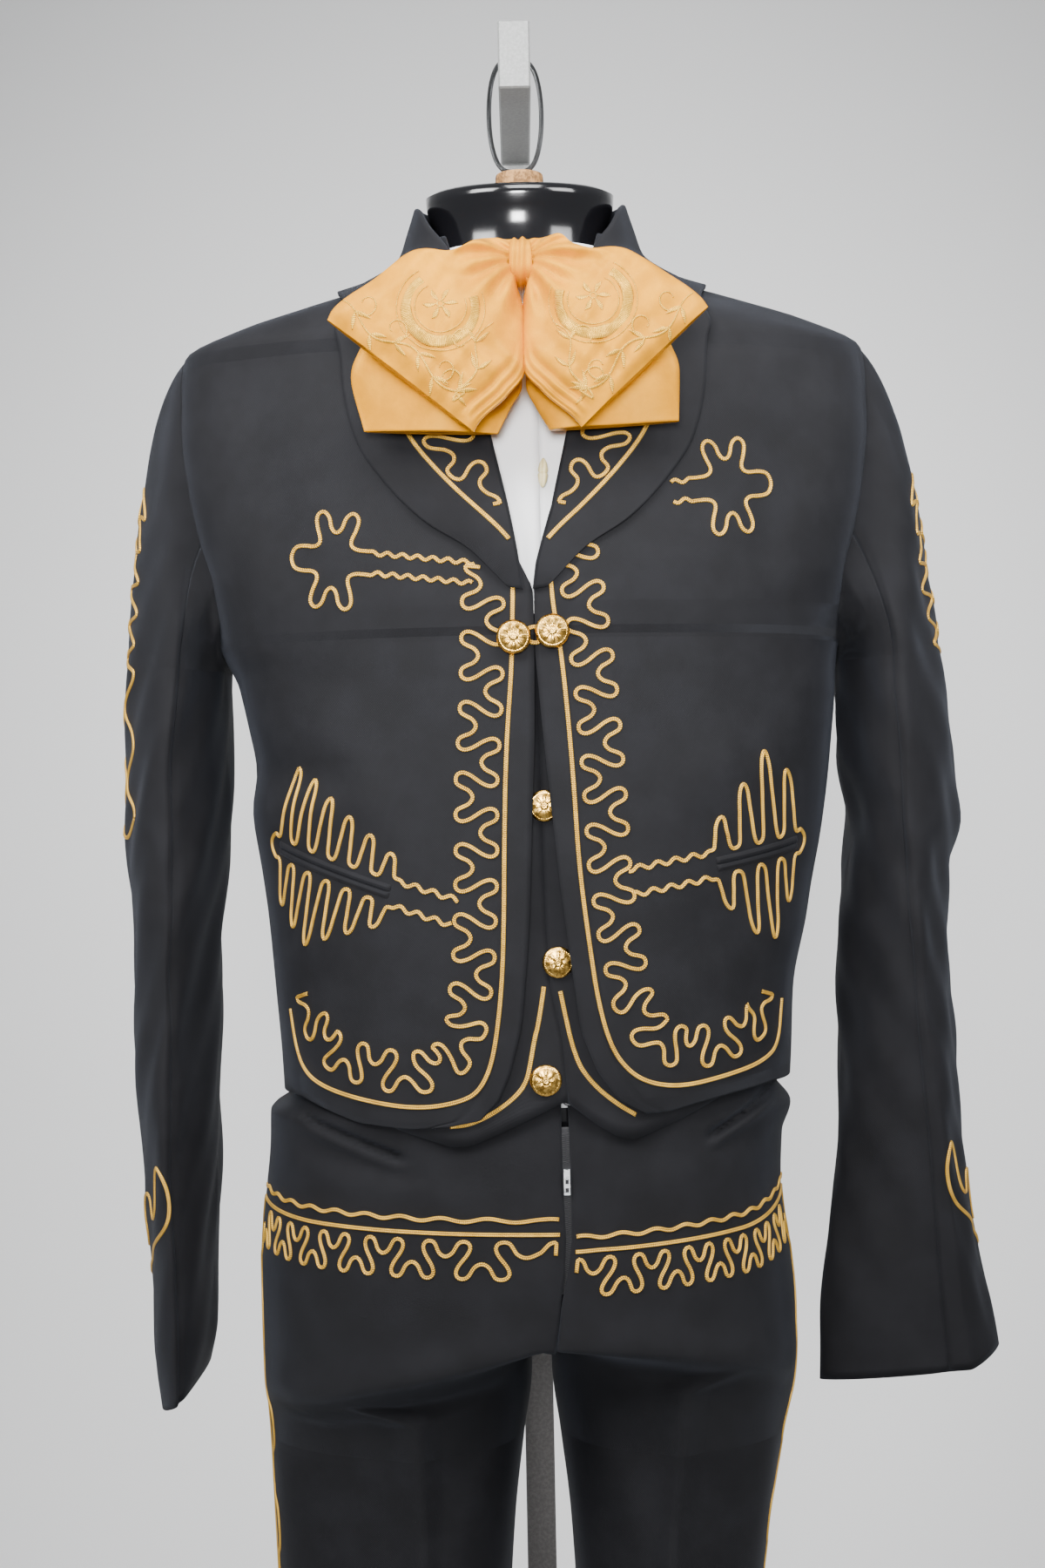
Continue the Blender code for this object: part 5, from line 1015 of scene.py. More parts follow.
def shawl(side):
    rows = [(k, *row) for k, row in enumerate(SHAWL)]

    def flat_part(across, v):
        inner_z, inner, outer_z, outer = through(rows, v * (len(SHAWL) - 1))
        turn = inner + (outer - inner) * across
        z = inner_z + (outer_z - inner_z) * across
        lap = 0.0034 - 0.0010 * np.clip(1 - v / 0.12, 0, 1) + 0.0006 * np.clip((v - 0.25) / 0.25, 0, 1)
        spot = skin(JACKET, turn if side > 0 else 180 - turn, z, lap, body_folds)
        if side > 0:
            upper_part = np.clip((v - 0.04) / 0.08, 0, 1) * np.clip((0.5 - v) / 0.08, 0, 1)
            spot[..., 0] += 0.0042 * (1 - across) * upper_part
        return spot

    def place(across, v):
        """Below 0 the cloth rolls over its edge and down inside, as the stand of the collar."""
        across, v = np.broadcast_arrays(np.asarray(across, float), np.asarray(v, float))
        on = np.clip(across, 0, None)
        here = flat_part(on, v)
        inward = flat_part(on + 0.02, v) - here
        inward = inward / np.linalg.norm(inward, axis=-1, keepdims=True)
        along = flat_part(on, np.minimum(v + 0.004, 1)) - flat_part(on, v - 0.004)
        square = square_to(inward, along) * side
        neck = np.clip((v - 0.42) / 0.12, 0, 1)
        neck = neck * neck * (3 - 2 * neck)
        round_r = 0.0007 + 0.0012 * neck
        t = np.clip(-across / 0.4, 0, 1)
        bend = np.clip(t / 0.35, 0, 1) * np.pi
        down = np.clip((t - 0.35) / 0.65, 0, 1) * (0.0010 + 0.017 * neck)
        return here + (-np.sin(bend) * round_r + down)[..., None] * inward \
            - ((1 - np.cos(bend)) * round_r)[..., None] * square
    return place


for word, side in (("left", 1), ("right", -1)):
    place = shawl(side)

    def rolled(u, v):
        return place((u if side > 0 else 1 - u) * 1.4 - 0.4, v)

    half = surface("cloth_shawl_collar_" + word, rolled, 42, 150, twill, 0.08, 0.50)
    thick(half, WOOL)
    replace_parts(half, "shawl_collar_" + word)

# ---------------------------------------------------------------- jacket sleeves
# Each sleeve is a wide top piece and a narrower under piece, set into the armhole. They hang empty, so
# they have fallen flat and broken into long folds.
SLEEVE_LEFT = (
    # z      inner   fold    outer   front    back    drop
    (0.797, 0.1845, 0.2800, 0.3040, -0.0300, 0.0260, -0.0110),
    (0.830, 0.1850, 0.2760, 0.2985, -0.0330, 0.0290, -0.0080),
    (0.868, 0.1890, 0.2710, 0.2905, -0.0370, 0.0350, -0.0040),
    (0.910, 0.1960, 0.2660, 0.2850, -0.0420, 0.0420, 0.0000),
    (0.960, 0.2010, 0.2600, 0.2815, -0.0480, 0.0500, 0.0000),
    (1.020, 0.2030, 0.2520, 0.2785, -0.0560, 0.0570, 0.0000),
    (1.085, 0.2028, 0.2470, 0.2755, -0.0620, 0.0640, 0.0000),
    (1.123, 0.2060, 0.2430, 0.2745, -0.0650, 0.0680, 0.0000),
    (1.160, 0.2110, 0.2390, 0.2825, -0.0690, 0.0720, 0.0000),
    (1.205, 0.2055, 0.2390, 0.2812, -0.0720, 0.0770, 0.0000),
    (1.262, 0.2045, 0.2350, 0.2740, -0.0745, 0.0830, 0.0000),
)
SLEEVE_RIGHT = (
    (0.790, 0.2225, 0.2345, 0.2525, -0.0560, 0.0560, 0.0120),
    (0.825, 0.2165, 0.2350, 0.2575, -0.0570, 0.0580, 0.0060),
    (0.875, 0.2155, 0.2350, 0.2570, -0.0590, 0.0610, 0.0000),
    (0.910, 0.2145, 0.2365, 0.2608, -0.0600, 0.0620, 0.0000),
    (0.960, 0.2130, 0.2385, 0.2635, -0.0620, 0.0640, 0.0000),
    (1.030, 0.2090, 0.2360, 0.2655, -0.0650, 0.0670, 0.0000),
    (1.083, 0.2105, 0.2345, 0.2675, -0.0670, 0.0690, 0.0000),
    (1.140, 0.2030, 0.2325, 0.2680, -0.0690, 0.0720, 0.0000),
    (1.190, 0.2003, 0.2315, 0.2680, -0.0710, 0.0750, 0.0000),
    (1.225, 0.2003, 0.2290, 0.2688, -0.0730, 0.0780, 0.0000),
    (1.262, 0.2015, 0.2240, 0.2678, -0.0745, 0.0830, 0.0000),
)
FRONT_SEAM = 97.5
BACK_SEAM = -112.5
TUCK = 0.0050


def sleeve_point(side, phi, s):
    """Outer face of a sleeve: phi 0 is its outer side, 90 the front, 180 the inner side;
    s runs from 0 at the cuff through 1 at the armpit ring to 2 at the armhole seam."""
    table = SLEEVE_LEFT if side > 0 else SLEEVE_RIGHT
    phi = phi % 360
    c = np.cos(np.radians(phi))
    sn = np.sin(np.radians(phi))
    low, high = table[0][0], table[-1][0]
    z = low + (high - low) * np.minimum(s, 1.0)
    inner, fold, outer, front, back, drop = through(table, z)
    middle = (front + back) / 2
    x = fold + np.where(c > 0, outer - fold, inner - fold) * np.abs(c) ** 0.95
    ridge = 0.55 * np.abs(sn) ** 1.05 + 0.45 * (1 - np.abs(c) ** 1.4)
    y = middle + np.where(sn > 0, (front - middle) * ridge, (back - middle) * np.abs(sn))
    base = np.stack([side * x, y, z - drop * c], -1)
    t = np.clip(s - 1.0, 0, 1)[..., None]
    k = np.where(phi <= 180, phi, 360 - phi) / 180 * (len(ARMHOLE) - 1)
    knots = np.arange(len(ARMHOLE))
    high_z, front_turn, back_turn = [np.interp(k, knots, [row[i] for row in ARMHOLE]) for i in range(3)]
    open_turn = np.where(phi <= 180, front_turn, -back_turn)
    top = skin(JACKET, open_turn if side > 0 else 180 - open_turn, high_z, -0.0020, body_folds)
    centre = np.array((side * 0.222, 0.004, 1.37))
    top = top - unit(centre - top) * TUCK
    far = np.linalg.norm(top - base, axis=-1, keepdims=True)
    crown = (1 + c) / 2
    leave = unit(np.stack([side * (0.25 + 0.50 * crown), -0.25 * sn, -0.92 + 0.18 * crown], -1))
    a = top + leave * far * 0.20
    b = base + unit(np.stack([-side * 0.10 * crown, 0 * crown, 1.0 + 0 * crown], -1)) * far * 0.33
    w = 1 - t
    return np.where(t > 0, top * t**3 + a * (3 * t * t * w) + b * (3 * t * w * w) + base * w**3, base)


def sleeve_folds(side, points, phi, s):
    """Long folds of the empty sleeve and the dip along its seams."""
    z = points[..., 2]
    dip = 0.0013 * (hill(phi - FRONT_SEAM, 5) + hill(phi - BACK_SEAM, 5) + hill(phi - 360 - BACK_SEAM, 5))
    slack = np.sin(np.pi * np.clip(s / 1.7, 0, 1)) ** 0.5
    wave = 0.0022 * np.sin(z * 31 + phi / 24 * side) * np.sin(phi / 17 + z * 9)
    wave = wave + 0.0014 * np.sin(z * 73 - phi / 15) * np.sin(phi / 11 - z * 21)
    return wave * slack - dip


def sleeve(side):
    def place(phi, s):
        e = 0.4
        here = sleeve_point(side, phi, s)
        around = sleeve_point(side, phi + e, s) - sleeve_point(side, phi - e, s)
        up = sleeve_point(side, phi, np.minimum(s + 0.004, 2.0)) - sleeve_point(side, phi, s - 0.004)
        out = square_to(around, up) * -side
        return here + out * sleeve_folds(side, here, phi, s)[..., None]
    return place


SLEEVE = {"left": sleeve(1), "right": sleeve(-1)}
for word, side in (("left", 1), ("right", -1)):
    for part, a, b in (("top", BACK_SEAM, FRONT_SEAM), ("under", FRONT_SEAM, 360 + BACK_SEAM)):

        def panel(u, v, place=SLEEVE[word]):
            w = crowd(u if side < 0 else 1 - u, 0.5)
            return place(a + (b - a) * w, np.interp(v, (0, 0.66, 1), (0.0, 1.0, 2.0)))

        sleeve_piece = surface("cloth_%s_sleeve_%s" % (part, word), panel, 50, 124, twill, 0.24, 0.68)
        thick(sleeve_piece, WOOL)
        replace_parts(sleeve_piece, "%s_sleeve_%s" % (part, word))

# ---------------------------------------------------------------- pockets of the jacket
# Each front has a slanting jetted pocket: a mouth between two narrow folded lips.
MOUTH_WIDE = 0.0092
LIP_AT = (0, 0.06, 0.24, 0.42, 0.47, 0.50, 0.53, 0.58, 0.76, 0.94, 1)
LIP_HIGH = (-0.0004, 0.0009, 0.0016, 0.0012, 0.0002, -0.0012, 0.0002, 0.0012, 0.0016, 0.0009, -0.0004)
POCKETS = (
    # side  inner end x, z      outer end x, z      loops above, highest at, height;  below, lowest at, depth
    (-1, -0.0874, 1.1204, -0.1590, 1.1484, 6, 0.84, 0.046, 6, 0.58, 0.044),
    (1, 0.1122, 1.1333, 0.1680, 1.1450, 4, 0.60, 0.054, 4, 0.50, 0.052),
)


def girth(table, x, z):
    """Distance round a ring's front from its middle to x."""
    x, z = np.broadcast_arrays(np.asarray(x, float), np.asarray(z, float))
    end = turned_to(table, x, z)
    t = np.linspace(0, 1, 61)
    points = ring(table, 90 + (end[..., None] - 90) * t, z[..., None] + 0 * t)
    return np.linalg.norm(np.diff(points, axis=-2), axis=-1).sum(-1) * np.where(x >= 0, 1, -1)


def turn_at(table, far, z):
    """The turn that lies this far round a ring from its front middle."""
    far, z = np.asarray(far, float), np.asarray(z, float)
    turns = 90 + np.where(far >= 0, -1, 1)[:, None] * 135 * np.linspace(0, 1, 136)
    points = ring(table, turns, z[:, None] + 0 * turns)
    run = np.linalg.norm(np.diff(points, axis=-2), axis=-1).cumsum(-1)
    run = np.hstack([np.zeros((len(far), 1)), run])
    return np.array([np.interp(abs(f), r, t) for f, r, t in zip(far, run, turns)])


def rest_on(place, a, b, flip=1, e=(0.002, 0.002)):
    """Points of a surface and the way it faces there."""
    da = place(a + e[0], b) - place(a - e[0], b)
    db = place(a, b + e[1]) - place(a, b - e[1])
    return place(a, b), square_to(da, db) * flip


def lay(flat, table=JACKET, folds=body_folds):
    """Cloth distances round a ring and heights, laid on its cloth."""
    flat = np.asarray(flat)
    turn = turn_at(table, flat[:, 0], flat[:, 1])
    return rest_on(lambda t, z: skin(table, t, z, 0.0, folds), turn, flat[:, 1], -1, (0.3, 0.002))


def pocket_frame(row):
    """Pocket mouth in cloth distances: inner end, unit run and unit up, length."""
    x0, z0, x1, z1 = row[1:5]
    a = np.array((float(girth(JACKET, x0, z0)), z0))
    b = np.array((float(girth(JACKET, x1, z1)), z1))
    run = (b - a) / np.linalg.norm(b - a)
    up = np.array((-run[1], run[0])) * (1 if run[0] > 0 else -1)
    return a, run, up, float(np.linalg.norm(b - a))


for word, row in (("right", POCKETS[0]), ("left", POCKETS[1])):
    corner, run, up, length = pocket_frame(row)

    def lips(u, v):
        w = (u if row[0] > 0 else 1 - u)[:, None]
        flat = corner + run * length * w + up * (MOUTH_WIDE * (v - 0.5))[:, None]
        spots, squares = lay(flat)
        lip = np.interp(v, LIP_AT, LIP_HIGH)
        ends = np.clip(np.minimum(u, 1 - u) / 0.03, 0, 1)
        return spots + squares * (lip * ends - 0.0003 * (1 - ends))[:, None]

    welt = surface("pocket_lips_" + word, lips, 70, 36, twill, 0.08, 0.009)
    thick(welt, 0.0006)
    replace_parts(welt, "pocket_welt_" + word)

# ---------------------------------------------------------------- gold braid on the jacket
# Soutache, a narrow flat braid of metal thread over two cords with a groove down its middle, sewn on by
# hand: one line down each edge and along the hem, and looped ornament inside it.
BRAID_WIDE = 0.0025
BRAID_HIGH = 0.0012
gold = Finish("gold_soutache", (0.62, 0.40, 0.12), 0.42, 0.45)
gold_u, gold_v, _ = gold.split(gold.place("UV"))
arm = (gold_u - 0.5).size()
plait = (gold_v * 5200.0 + arm * 9.0).sin() * 0.5 + 0.5
patchy = gold.cloud(90, 4, 0.6)
# Colour runs from dark brown to bright gold over the plait and in random patches: painted highlights on the
# plait with painted shade between, and random tone in the patches.
painted_plait_shine = (plait * 0.55 + patchy * 0.6).between(0.2, 0.9)
gold.colour(gold.blend(painted_plait_shine, (0.27, 0.120, 0.005), (0.92, 0.56, 0.080)))
gold.roughness(plait * 0.2 + patchy * 0.2 + 0.22)
gold.raise_by(plait, 0.0002, 0.8)
CORDS = ((-0.50, 0.0), (-0.50, 0.35), (-0.40, 0.80), (-0.25, 1.0), (-0.10, 0.80), (0.0, 0.35), (0.10, 0.80),
         (0.25, 1.0), (0.40, 0.80), (0.50, 0.35), (0.50, 0.0))


def rounded(path, times=3):
    """Cuts the corners off a path until it runs smoothly."""
    path = np.asarray(path, float)
    for _ in range(times):
        a, b = path[:-1], path[1:]
        both = np.stack([0.75 * a + 0.25 * b, 0.25 * a + 0.75 * b], 1).reshape(-1, path.shape[1])
        path = np.vstack([path[:1], both, path[-1:]])
    return path


def cord(name, spots, squares, section, wide, high, end_high, sunk, finish, closed=False):
    """A cord of one section along spots of the cloth; open ends close at end_high of its height."""
    side = square_to(squares, along_path(spots, closed))
    n = len(spots)
    shape = np.array(section)
    wide = np.broadcast_to(wide, n)

    def place(u, v):
        i = np.rint(v * (n if closed else n + 1)).astype(int)
        j = np.rint(u * len(shape)).astype(int) % len(shape)
        k = i % n if closed else np.clip(i - 1, 0, n - 1)
        size = np.ones(len(i)) if closed else ((i > 0) & (i < n + 1)).astype(float)
        across = (shape[j, 0] * wide[k] * size)[:, None]
        up = (shape[j, 1] * high * size + (1 - size) * high * end_high - sunk)[:, None]
        return spots[k] + side[k] * across + squares[k] * up

    along = n if closed else n + 1
    return surface(name, place, len(shape), along, finish, 1.0, run_of(spots)[-1], merge=True)


def soutache(name, laid, wide=BRAID_WIDE, high=BRAID_HIGH, closed=False, gap=0.0012):
    """A braid along points of the cloth, resting on it."""
    spots, squares = even(laid[0], gap, laid[1])
    if closed:
        spots, squares = spots[:-1], squares[:-1]
    squares = squares / np.linalg.norm(squares, axis=-1, keepdims=True)
    piece = cord(name, spots, squares, CORDS, wide, high, 0.4, 0.0002, gold, closed)
    return piece


FINGERS = (
    # along the line in repeats, across it; the second half of a repeat is the same, turned over
    (-0.06, 0.35), (-0.10, 0.80), (-0.05, 1.14), (0.06, 1.14), (0.11, 0.80), (0.15, 0.40), (0.25, 0.14),
    (0.35, 0.40), (0.39, 0.80), (0.44, 1.14), (0.55, 1.14), (0.60, 0.80), (0.56, 0.35), (0.50, 0.0),
)


def fingers(repeats):
    """Looped ornament of round fingers in pairs, to and fro: how far along in repeats, how far across."""
    path = [(k / 2 + s, across * (-1)**k) for k in range(2 * repeats) for s, across in FINGERS]
    return rounded(path, 3).T


def meander(guide, period, swing, side=1):
    """That ornament along a guide line."""
    fine = even(np.asarray(guide, float), 0.001)
    repeats = max(1, round(run_of(fine)[-1] / period))
    along, across = fingers(repeats)
    k = np.clip(along / repeats, 0, 1) * (len(fine) - 1)
    at = lambda k: np.stack([np.interp(k, np.arange(len(fine)), fine[:, i]) for i in (0, 1)], -1)
    way = at(np.minimum(k + 5, len(fine) - 1)) - at(np.maximum(k - 5, 0))
    way = way / np.linalg.norm(way, axis=-1, keepdims=True)
    over = np.stack([-way[:, 1], way[:, 0]], -1)
    return at(k) + over * (side * swing * across)[:, None]


LINE = {
    # edge line: x and z down the front, round the corner and along the hem
    "right": (
        (-0.0090, 1.3110), (-0.0094, 1.2960), (-0.0104, 1.2600), (-0.0153, 1.2047), (-0.0174, 1.1456),
        (-0.0184, 1.1023), (-0.0206, 1.0591), (-0.0262, 1.0190), (-0.0335, 1.0010), (-0.0437, 0.9925),
        (-0.0707, 0.9872), (-0.1028, 0.9905), (-0.1359, 0.9985), (-0.1480, 1.0080), (-0.1530, 1.0231),
        (-0.1560, 1.0448),
    ),
    "left": (
        (0.0138, 1.3090), (0.0152, 1.2910), (0.0192, 1.2648), (0.0222, 1.2325), (0.0255, 1.1844),
        (0.0277, 1.1342), (0.0336, 1.0834), (0.0383, 1.0495), (0.0457, 1.0225), (0.0570, 1.0074),
        (0.0706, 1.0000), (0.0899, 0.9975), (0.1160, 1.0018), (0.1421, 1.0078), (0.1540, 1.0168),
        (0.1569, 1.0454),
    ),
}
BAND = {
    # middle of the looped band inside that line
    "right": (
        (-0.0250, 1.3165), (-0.0275, 1.2960), (-0.0295, 1.2384), (-0.0335, 1.1855), (-0.0345, 1.1325),
        (-0.0372, 1.0796), (-0.0420, 1.0400), (-0.0550, 1.0150), (-0.0760, 1.0085), (-0.1043, 1.0125),
        (-0.1300, 1.0230), (-0.1400, 1.0400), (-0.1430, 1.0560),
    ),
    "left": (
        (0.0265, 1.3440), (0.0320, 1.3150), (0.0335, 1.3000), (0.0370, 1.2700), (0.0405, 1.2371),
        (0.0440, 1.1841), (0.0465, 1.1311), (0.0520, 1.0886), (0.0590, 1.0530), (0.0720, 1.0290),
        (0.0920, 1.0195), (0.1185, 1.0240), (0.1390, 1.0350), (0.1420, 1.0520),
    ),
}
BAND_REPEAT = 0.0420
BAND_SWING = 0.0112
EDGE_WIDE = 0.0027


def on_jacket(points):
    """Cloth distances of x, z pairs on a jacket front."""
    points = np.array(points)
    return np.stack([girth(JACKET, points[:, 0], points[:, 1]), points[:, 1]], -1)


for word in ("right", "left"):
    line = soutache("edge_braid_" + word, lay(even(rounded(on_jacket(LINE[word])), 0.0012)), EDGE_WIDE)
    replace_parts(line, "edge_line_" + word)
    path = meander(on_jacket(BAND[word]), BAND_REPEAT, BAND_SWING, 1 if word == "left" else -1)
    loops = soutache("looped_braid_" + word, lay(path))
    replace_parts(loops, "front_loops_" + word)

CLOVER = (
    # one side of the clover end, along and across its stem
    (0.80, 0.27), (0.50, 0.28), (0.36, 0.42), (0.50, 0.76), (0.54, 1.02), (0.38, 1.16), (0.20, 1.02),
    (0.14, 0.74), (0.00, 0.62), (-0.14, 0.74), (-0.20, 1.02), (-0.38, 1.16), (-0.54, 1.02),
    (-0.50, 0.76), (-0.36, 0.42), (-0.50, 0.28), (-0.80, 0.30), (-1.04, 0.26), (-1.14, 0.08),
)
CLOVER_R = 0.0262
STEM_FROM = 0.0245
for word, x, z, end_x, end_z in (("right", -0.1187, 1.3243, -0.0330, 1.3135),
                                 ("left", 0.1249, 1.3661, 0.0895, 1.3620)):
    mid, end = on_jacket(((x, z), (end_x, end_z)))
    run = (end - mid) / np.linalg.norm(end - mid)
    up = np.array((-run[1], run[0]))
    far = float(np.linalg.norm(end - mid))
    s = np.linspace(STEM_FROM, far, 160)
    wave = 0.0062 + 0.0012 * np.cos(2 * np.pi * (s - STEM_FROM) / 0.0094)
    arms = [mid + run * d + up * h for d, h in zip(s[::-1], wave[::-1])]
    head = [mid + run * (a * CLOVER_R) + up * (b * CLOVER_R) for a, b in CLOVER]
    head += [mid + run * (a * CLOVER_R) - up * (b * CLOVER_R) for a, b in CLOVER[::-1]]
    tails = [mid + run * d - up * h for d, h in zip(s, wave)]
    clover = soutache("chest_braid_" + word, lay(rounded(arms + head + tails, 2)))
    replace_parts(clover, "chest_clover_" + word)

TALL_LOOP = (
    # one loop of a pocket fan, along the mouth and up
    (0.02, 0.10), (0.06, 0.35), (0.12, 0.62), (0.16, 0.90), (0.26, 1.04), (0.40, 1.04), (0.52, 0.88),
    (0.54, 0.62), (0.58, 0.38), (0.60, 0.12), (0.68, -0.02), (0.84, -0.02), (0.96, 0.02),
)
FAN_FOOT = 0.0078
for word, row in (("right", POCKETS[0]), ("left", POCKETS[1])):
    corner, run, up, length = pocket_frame(row)
    above, top_at, tall, below, low_at, deep = row[5:]
    reach = length + 0.004
    lead = 0.042 if word == "right" else 0.056
    halves = []
    for loops, peak, high, way in ((above, top_at, tall, 1), (below, low_at, deep, -1)):
        half = []
        for d in np.linspace(lead, 0.004, 110):
            wave = 0.0015 * math.sin(2 * math.pi * d / 0.0115)
            half.append(corner - run * d + up * (way * (FAN_FOOT + wave)))
        for i in range(loops):
            for part, rise in TALL_LOOP:
                t = (i + part) / loops
                env = 0.010 + (high - 0.010) * max(0.0, 1 - abs(t - peak) / (max(peak, 1 - peak) + 0.05))
                half.append(corner + run * (t * reach) + up * (way * (FAN_FOOT + env * rise)))
        half.append(corner + run * (reach + 0.0050) + up * (way * 0.0030))
        halves.append(half)
    fan = soutache("pocket_braid_" + word, lay(rounded(halves[0] + halves[1][::-1], 2)))
    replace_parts(fan, "pocket_fan_" + word)

for word, side in (("right", -1), ("left", 1)):
    place = shawl(side)
    t = np.linspace(0, 1, 80)
    across_line = 0.58 + 0.12 * t * (1 - t) - 0.50 * t**4
    outer = rest_on(place, across_line, 0.44 - 0.365 * t, side, (0.02, 0.004))
    soutache("lapel_line_" + word, outer, 0.0028)
    repeat, swing = fingers(3)
    v = 0.125 + 0.30 * np.clip(repeat / 3, 0, 1)
    line = np.interp(v, 0.44 - 0.365 * t[::-1], across_line[::-1])
    inner = rest_on(place, line * 0.53 - line * 0.30 * swing, v, side, (0.02, 0.004))
    loops = soutache("lapel_braid_loops_" + word, inner)
    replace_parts(loops, "lapel_braid_" + word)

for word, side in (("right", -1), ("left", 1)):
    place = SLEEVE[word]
    top_s = 1.50
    low_s = 0.80 if word == "right" else 1.05
    lobes = 7 if word == "right" else 5
    t = np.linspace(0, 1, lobes * 40)
    up_phi = 20 + 14 + 9 * np.cos(2 * np.pi * t * lobes)
    down_phi = 20 - 14 - 9 * np.cos(2 * np.pi * t[::-1] * lobes)
    path = np.vstack([
        np.stack([up_phi, low_s + (top_s - low_s) * t], -1),
        ((31, top_s + 0.020), (20, top_s + 0.030), (9, top_s + 0.020)),
        np.stack([down_phi, low_s + (top_s - low_s) * t[::-1]], -1),
        ((9, low_s - 0.020), (20, low_s - 0.030), (31, low_s - 0.020), (43, low_s))])
    path = rounded(path, 1)
    ladder = soutache("sleeve_braid_" + word, rest_on(place, path[:, 0], path[:, 1], -side, (0.4, 0.004)))
    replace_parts(ladder, "sleeve_band_" + word)
    cuff = [(-55 + 18 * i, 0.105 + 0.018 * i) for i in range(8)]
    cuff += [(82, 0.245), (89, 0.262), (90, 0.290), (84, 0.316)]
    for t in np.linspace(0, 1, 60):
        cuff.append((76 - 130 * (t + 0.022 * math.sin(12 * math.pi * t)), 0.300 - 0.145 * t
                     + 0.026 * math.cos(6 * math.pi * t)))
    cuff = rounded(cuff, 2)
    ends = soutache("cuff_braid_" + word, rest_on(place, cuff[:, 0], cuff[:, 1], -side, (0.4, 0.004)))
    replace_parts(ends, "cuff_band_" + word)

# ---------------------------------------------------------------- gold braid on trousers and vest
# The trousers carry a wavy line across each front, and a straight line and a looped band across it and
# down the side seam. The vest has one line round the lower corner of each front.
YOKE = (
    # word, side, height of the line at the fly, mid front and side seam
    ("right", -1, 0.9087, 0.9126, 0.9215),
    ("left", 1, 0.8980, 0.9040, 0.9250),
)
SEAM_TOP_ZS = (0.900, 0.890, 0.866, 0.840, 0.812, 0.785, 0.755, 0.715)
SWIRL_Z = 0.884
SWIRL_REPEAT = 0.066
HIP_GAP = 0.0018
HIP_REACH = (0.003, 0.002)
for word, side, fly_z, mid_z, side_z in YOKE:
    place = TROUSER["trouser_front_" + word]

    def yoke(q):
        """Height of the edge line across the front."""
        rise = (side_z - mid_z) * np.maximum(0, q * 2 - 1) ** 1.5
        return fly_z + (mid_z - fly_z) * np.minimum(q / 0.5, 1.0) + rise

    q = np.linspace(0.90, 0.010, 240)
    wavy = np.stack([q, yoke(q) + 0.0086 + 0.0011 * np.sin(q * 2 * np.pi * 11)], -1)
    q = np.linspace(0.010, 0.91, 60)
    line = np.stack([q, yoke(q)], -1)
    z = np.concatenate([SEAM_TOP_ZS, np.linspace(0.66, 0.030, 30)])
    seam = np.stack([np.interp(z, (0.56, 0.70), (0.940 if side < 0 else 0.980, 0.985)), z], -1)
    for label, path in (("wave", wavy), ("line", np.vstack([line, seam]))):
        path = rounded(path, 1)
        laid = rest_on(place, path[:, 0], path[:, 1], side, HIP_REACH)
        run = soutache("hip_%s_%s" % (label, word), laid, gap=HIP_GAP)
        if label == "line":
            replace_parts(run, "yoke_line_" + word)
    repeat, swing = fingers(6)
    q = 0.016 + 0.854 * np.clip(repeat / 6, 0, 1)
    loops = np.stack([q, yoke(q) - 0.0160 + 0.0100 * swing], -1)
    z = np.linspace(SWIRL_Z, 0.035, 900)
    inset = np.interp(z, (0.56, 0.70, 0.86, 0.884), (0.868 if side < 0 else 0.915, 0.925, 0.925, 0.885))
    swirl = np.stack([inset + 0.020 * np.sin((SWIRL_Z - z) * 2 * np.pi / SWIRL_REPEAT), z
                      + 0.0035 * np.sin((SWIRL_Z - z) * 4 * np.pi / SWIRL_REPEAT)], -1)
    path = rounded(np.vstack([loops, swirl]), 1)
    laid = rest_on(place, path[:, 0], path[:, 1], side, HIP_REACH)
    run = soutache("hip_loops_" + word, laid, gap=HIP_GAP)
    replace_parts(run, "yoke_loops_" + word)

VEST_TRIM = {
    # x and z down the front edge and along the pointed hem
    "right": ((0.0050, 1.0610), (-0.0043, 1.0100), (-0.0093, 0.9975), (-0.0250, 0.9850), (-0.0420, 0.9770),
              (-0.0540, 0.9760)),
    "left": ((0.0150, 1.0580), (0.0231, 1.0169), (0.0335, 1.0010), (0.0480, 0.9885), (0.0600, 0.9810)),
}
for word in ("right", "left"):
    points = np.array(VEST_TRIM[word])
    guide = np.stack([girth(VEST, points[:, 0], points[:, 1]), points[:, 1]], -1)
    line = soutache("vest_braid_" + word, lay(even(rounded(guide, 2), 0.0012), VEST, None), 0.0028, 0.0009)
    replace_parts(line, "vest_line_" + word)

# ---------------------------------------------------------------- buttons
# Gilt domed buttons, struck with a generic rosette inside a rope border. The two at the top are a linked
# pair, joined through both fronts by a gold cord. A small dark plastic button shows at the waist.
gilt = Finish("gilt_button", (0.84, 0.63, 0.26), 0.24, 1.0)
tarnish = gilt.cloud(420, 5, 0.65)
gilt.colour(gilt.blend(tarnish.between(0.35, 0.75), (0.36, 0.19, 0.030), (0.88, 0.56, 0.15)))
gilt.roughness(tarnish * 0.30 + 0.12)
gilt.raise_by(gilt.cloud(1100, 3), 0.00004)


def round_at(a, r, side, over):
    """Points at angle a and radius r in the plane of side and over."""
    return np.outer(np.cos(a) * r, side) + np.outer(np.sin(a) * r, over)


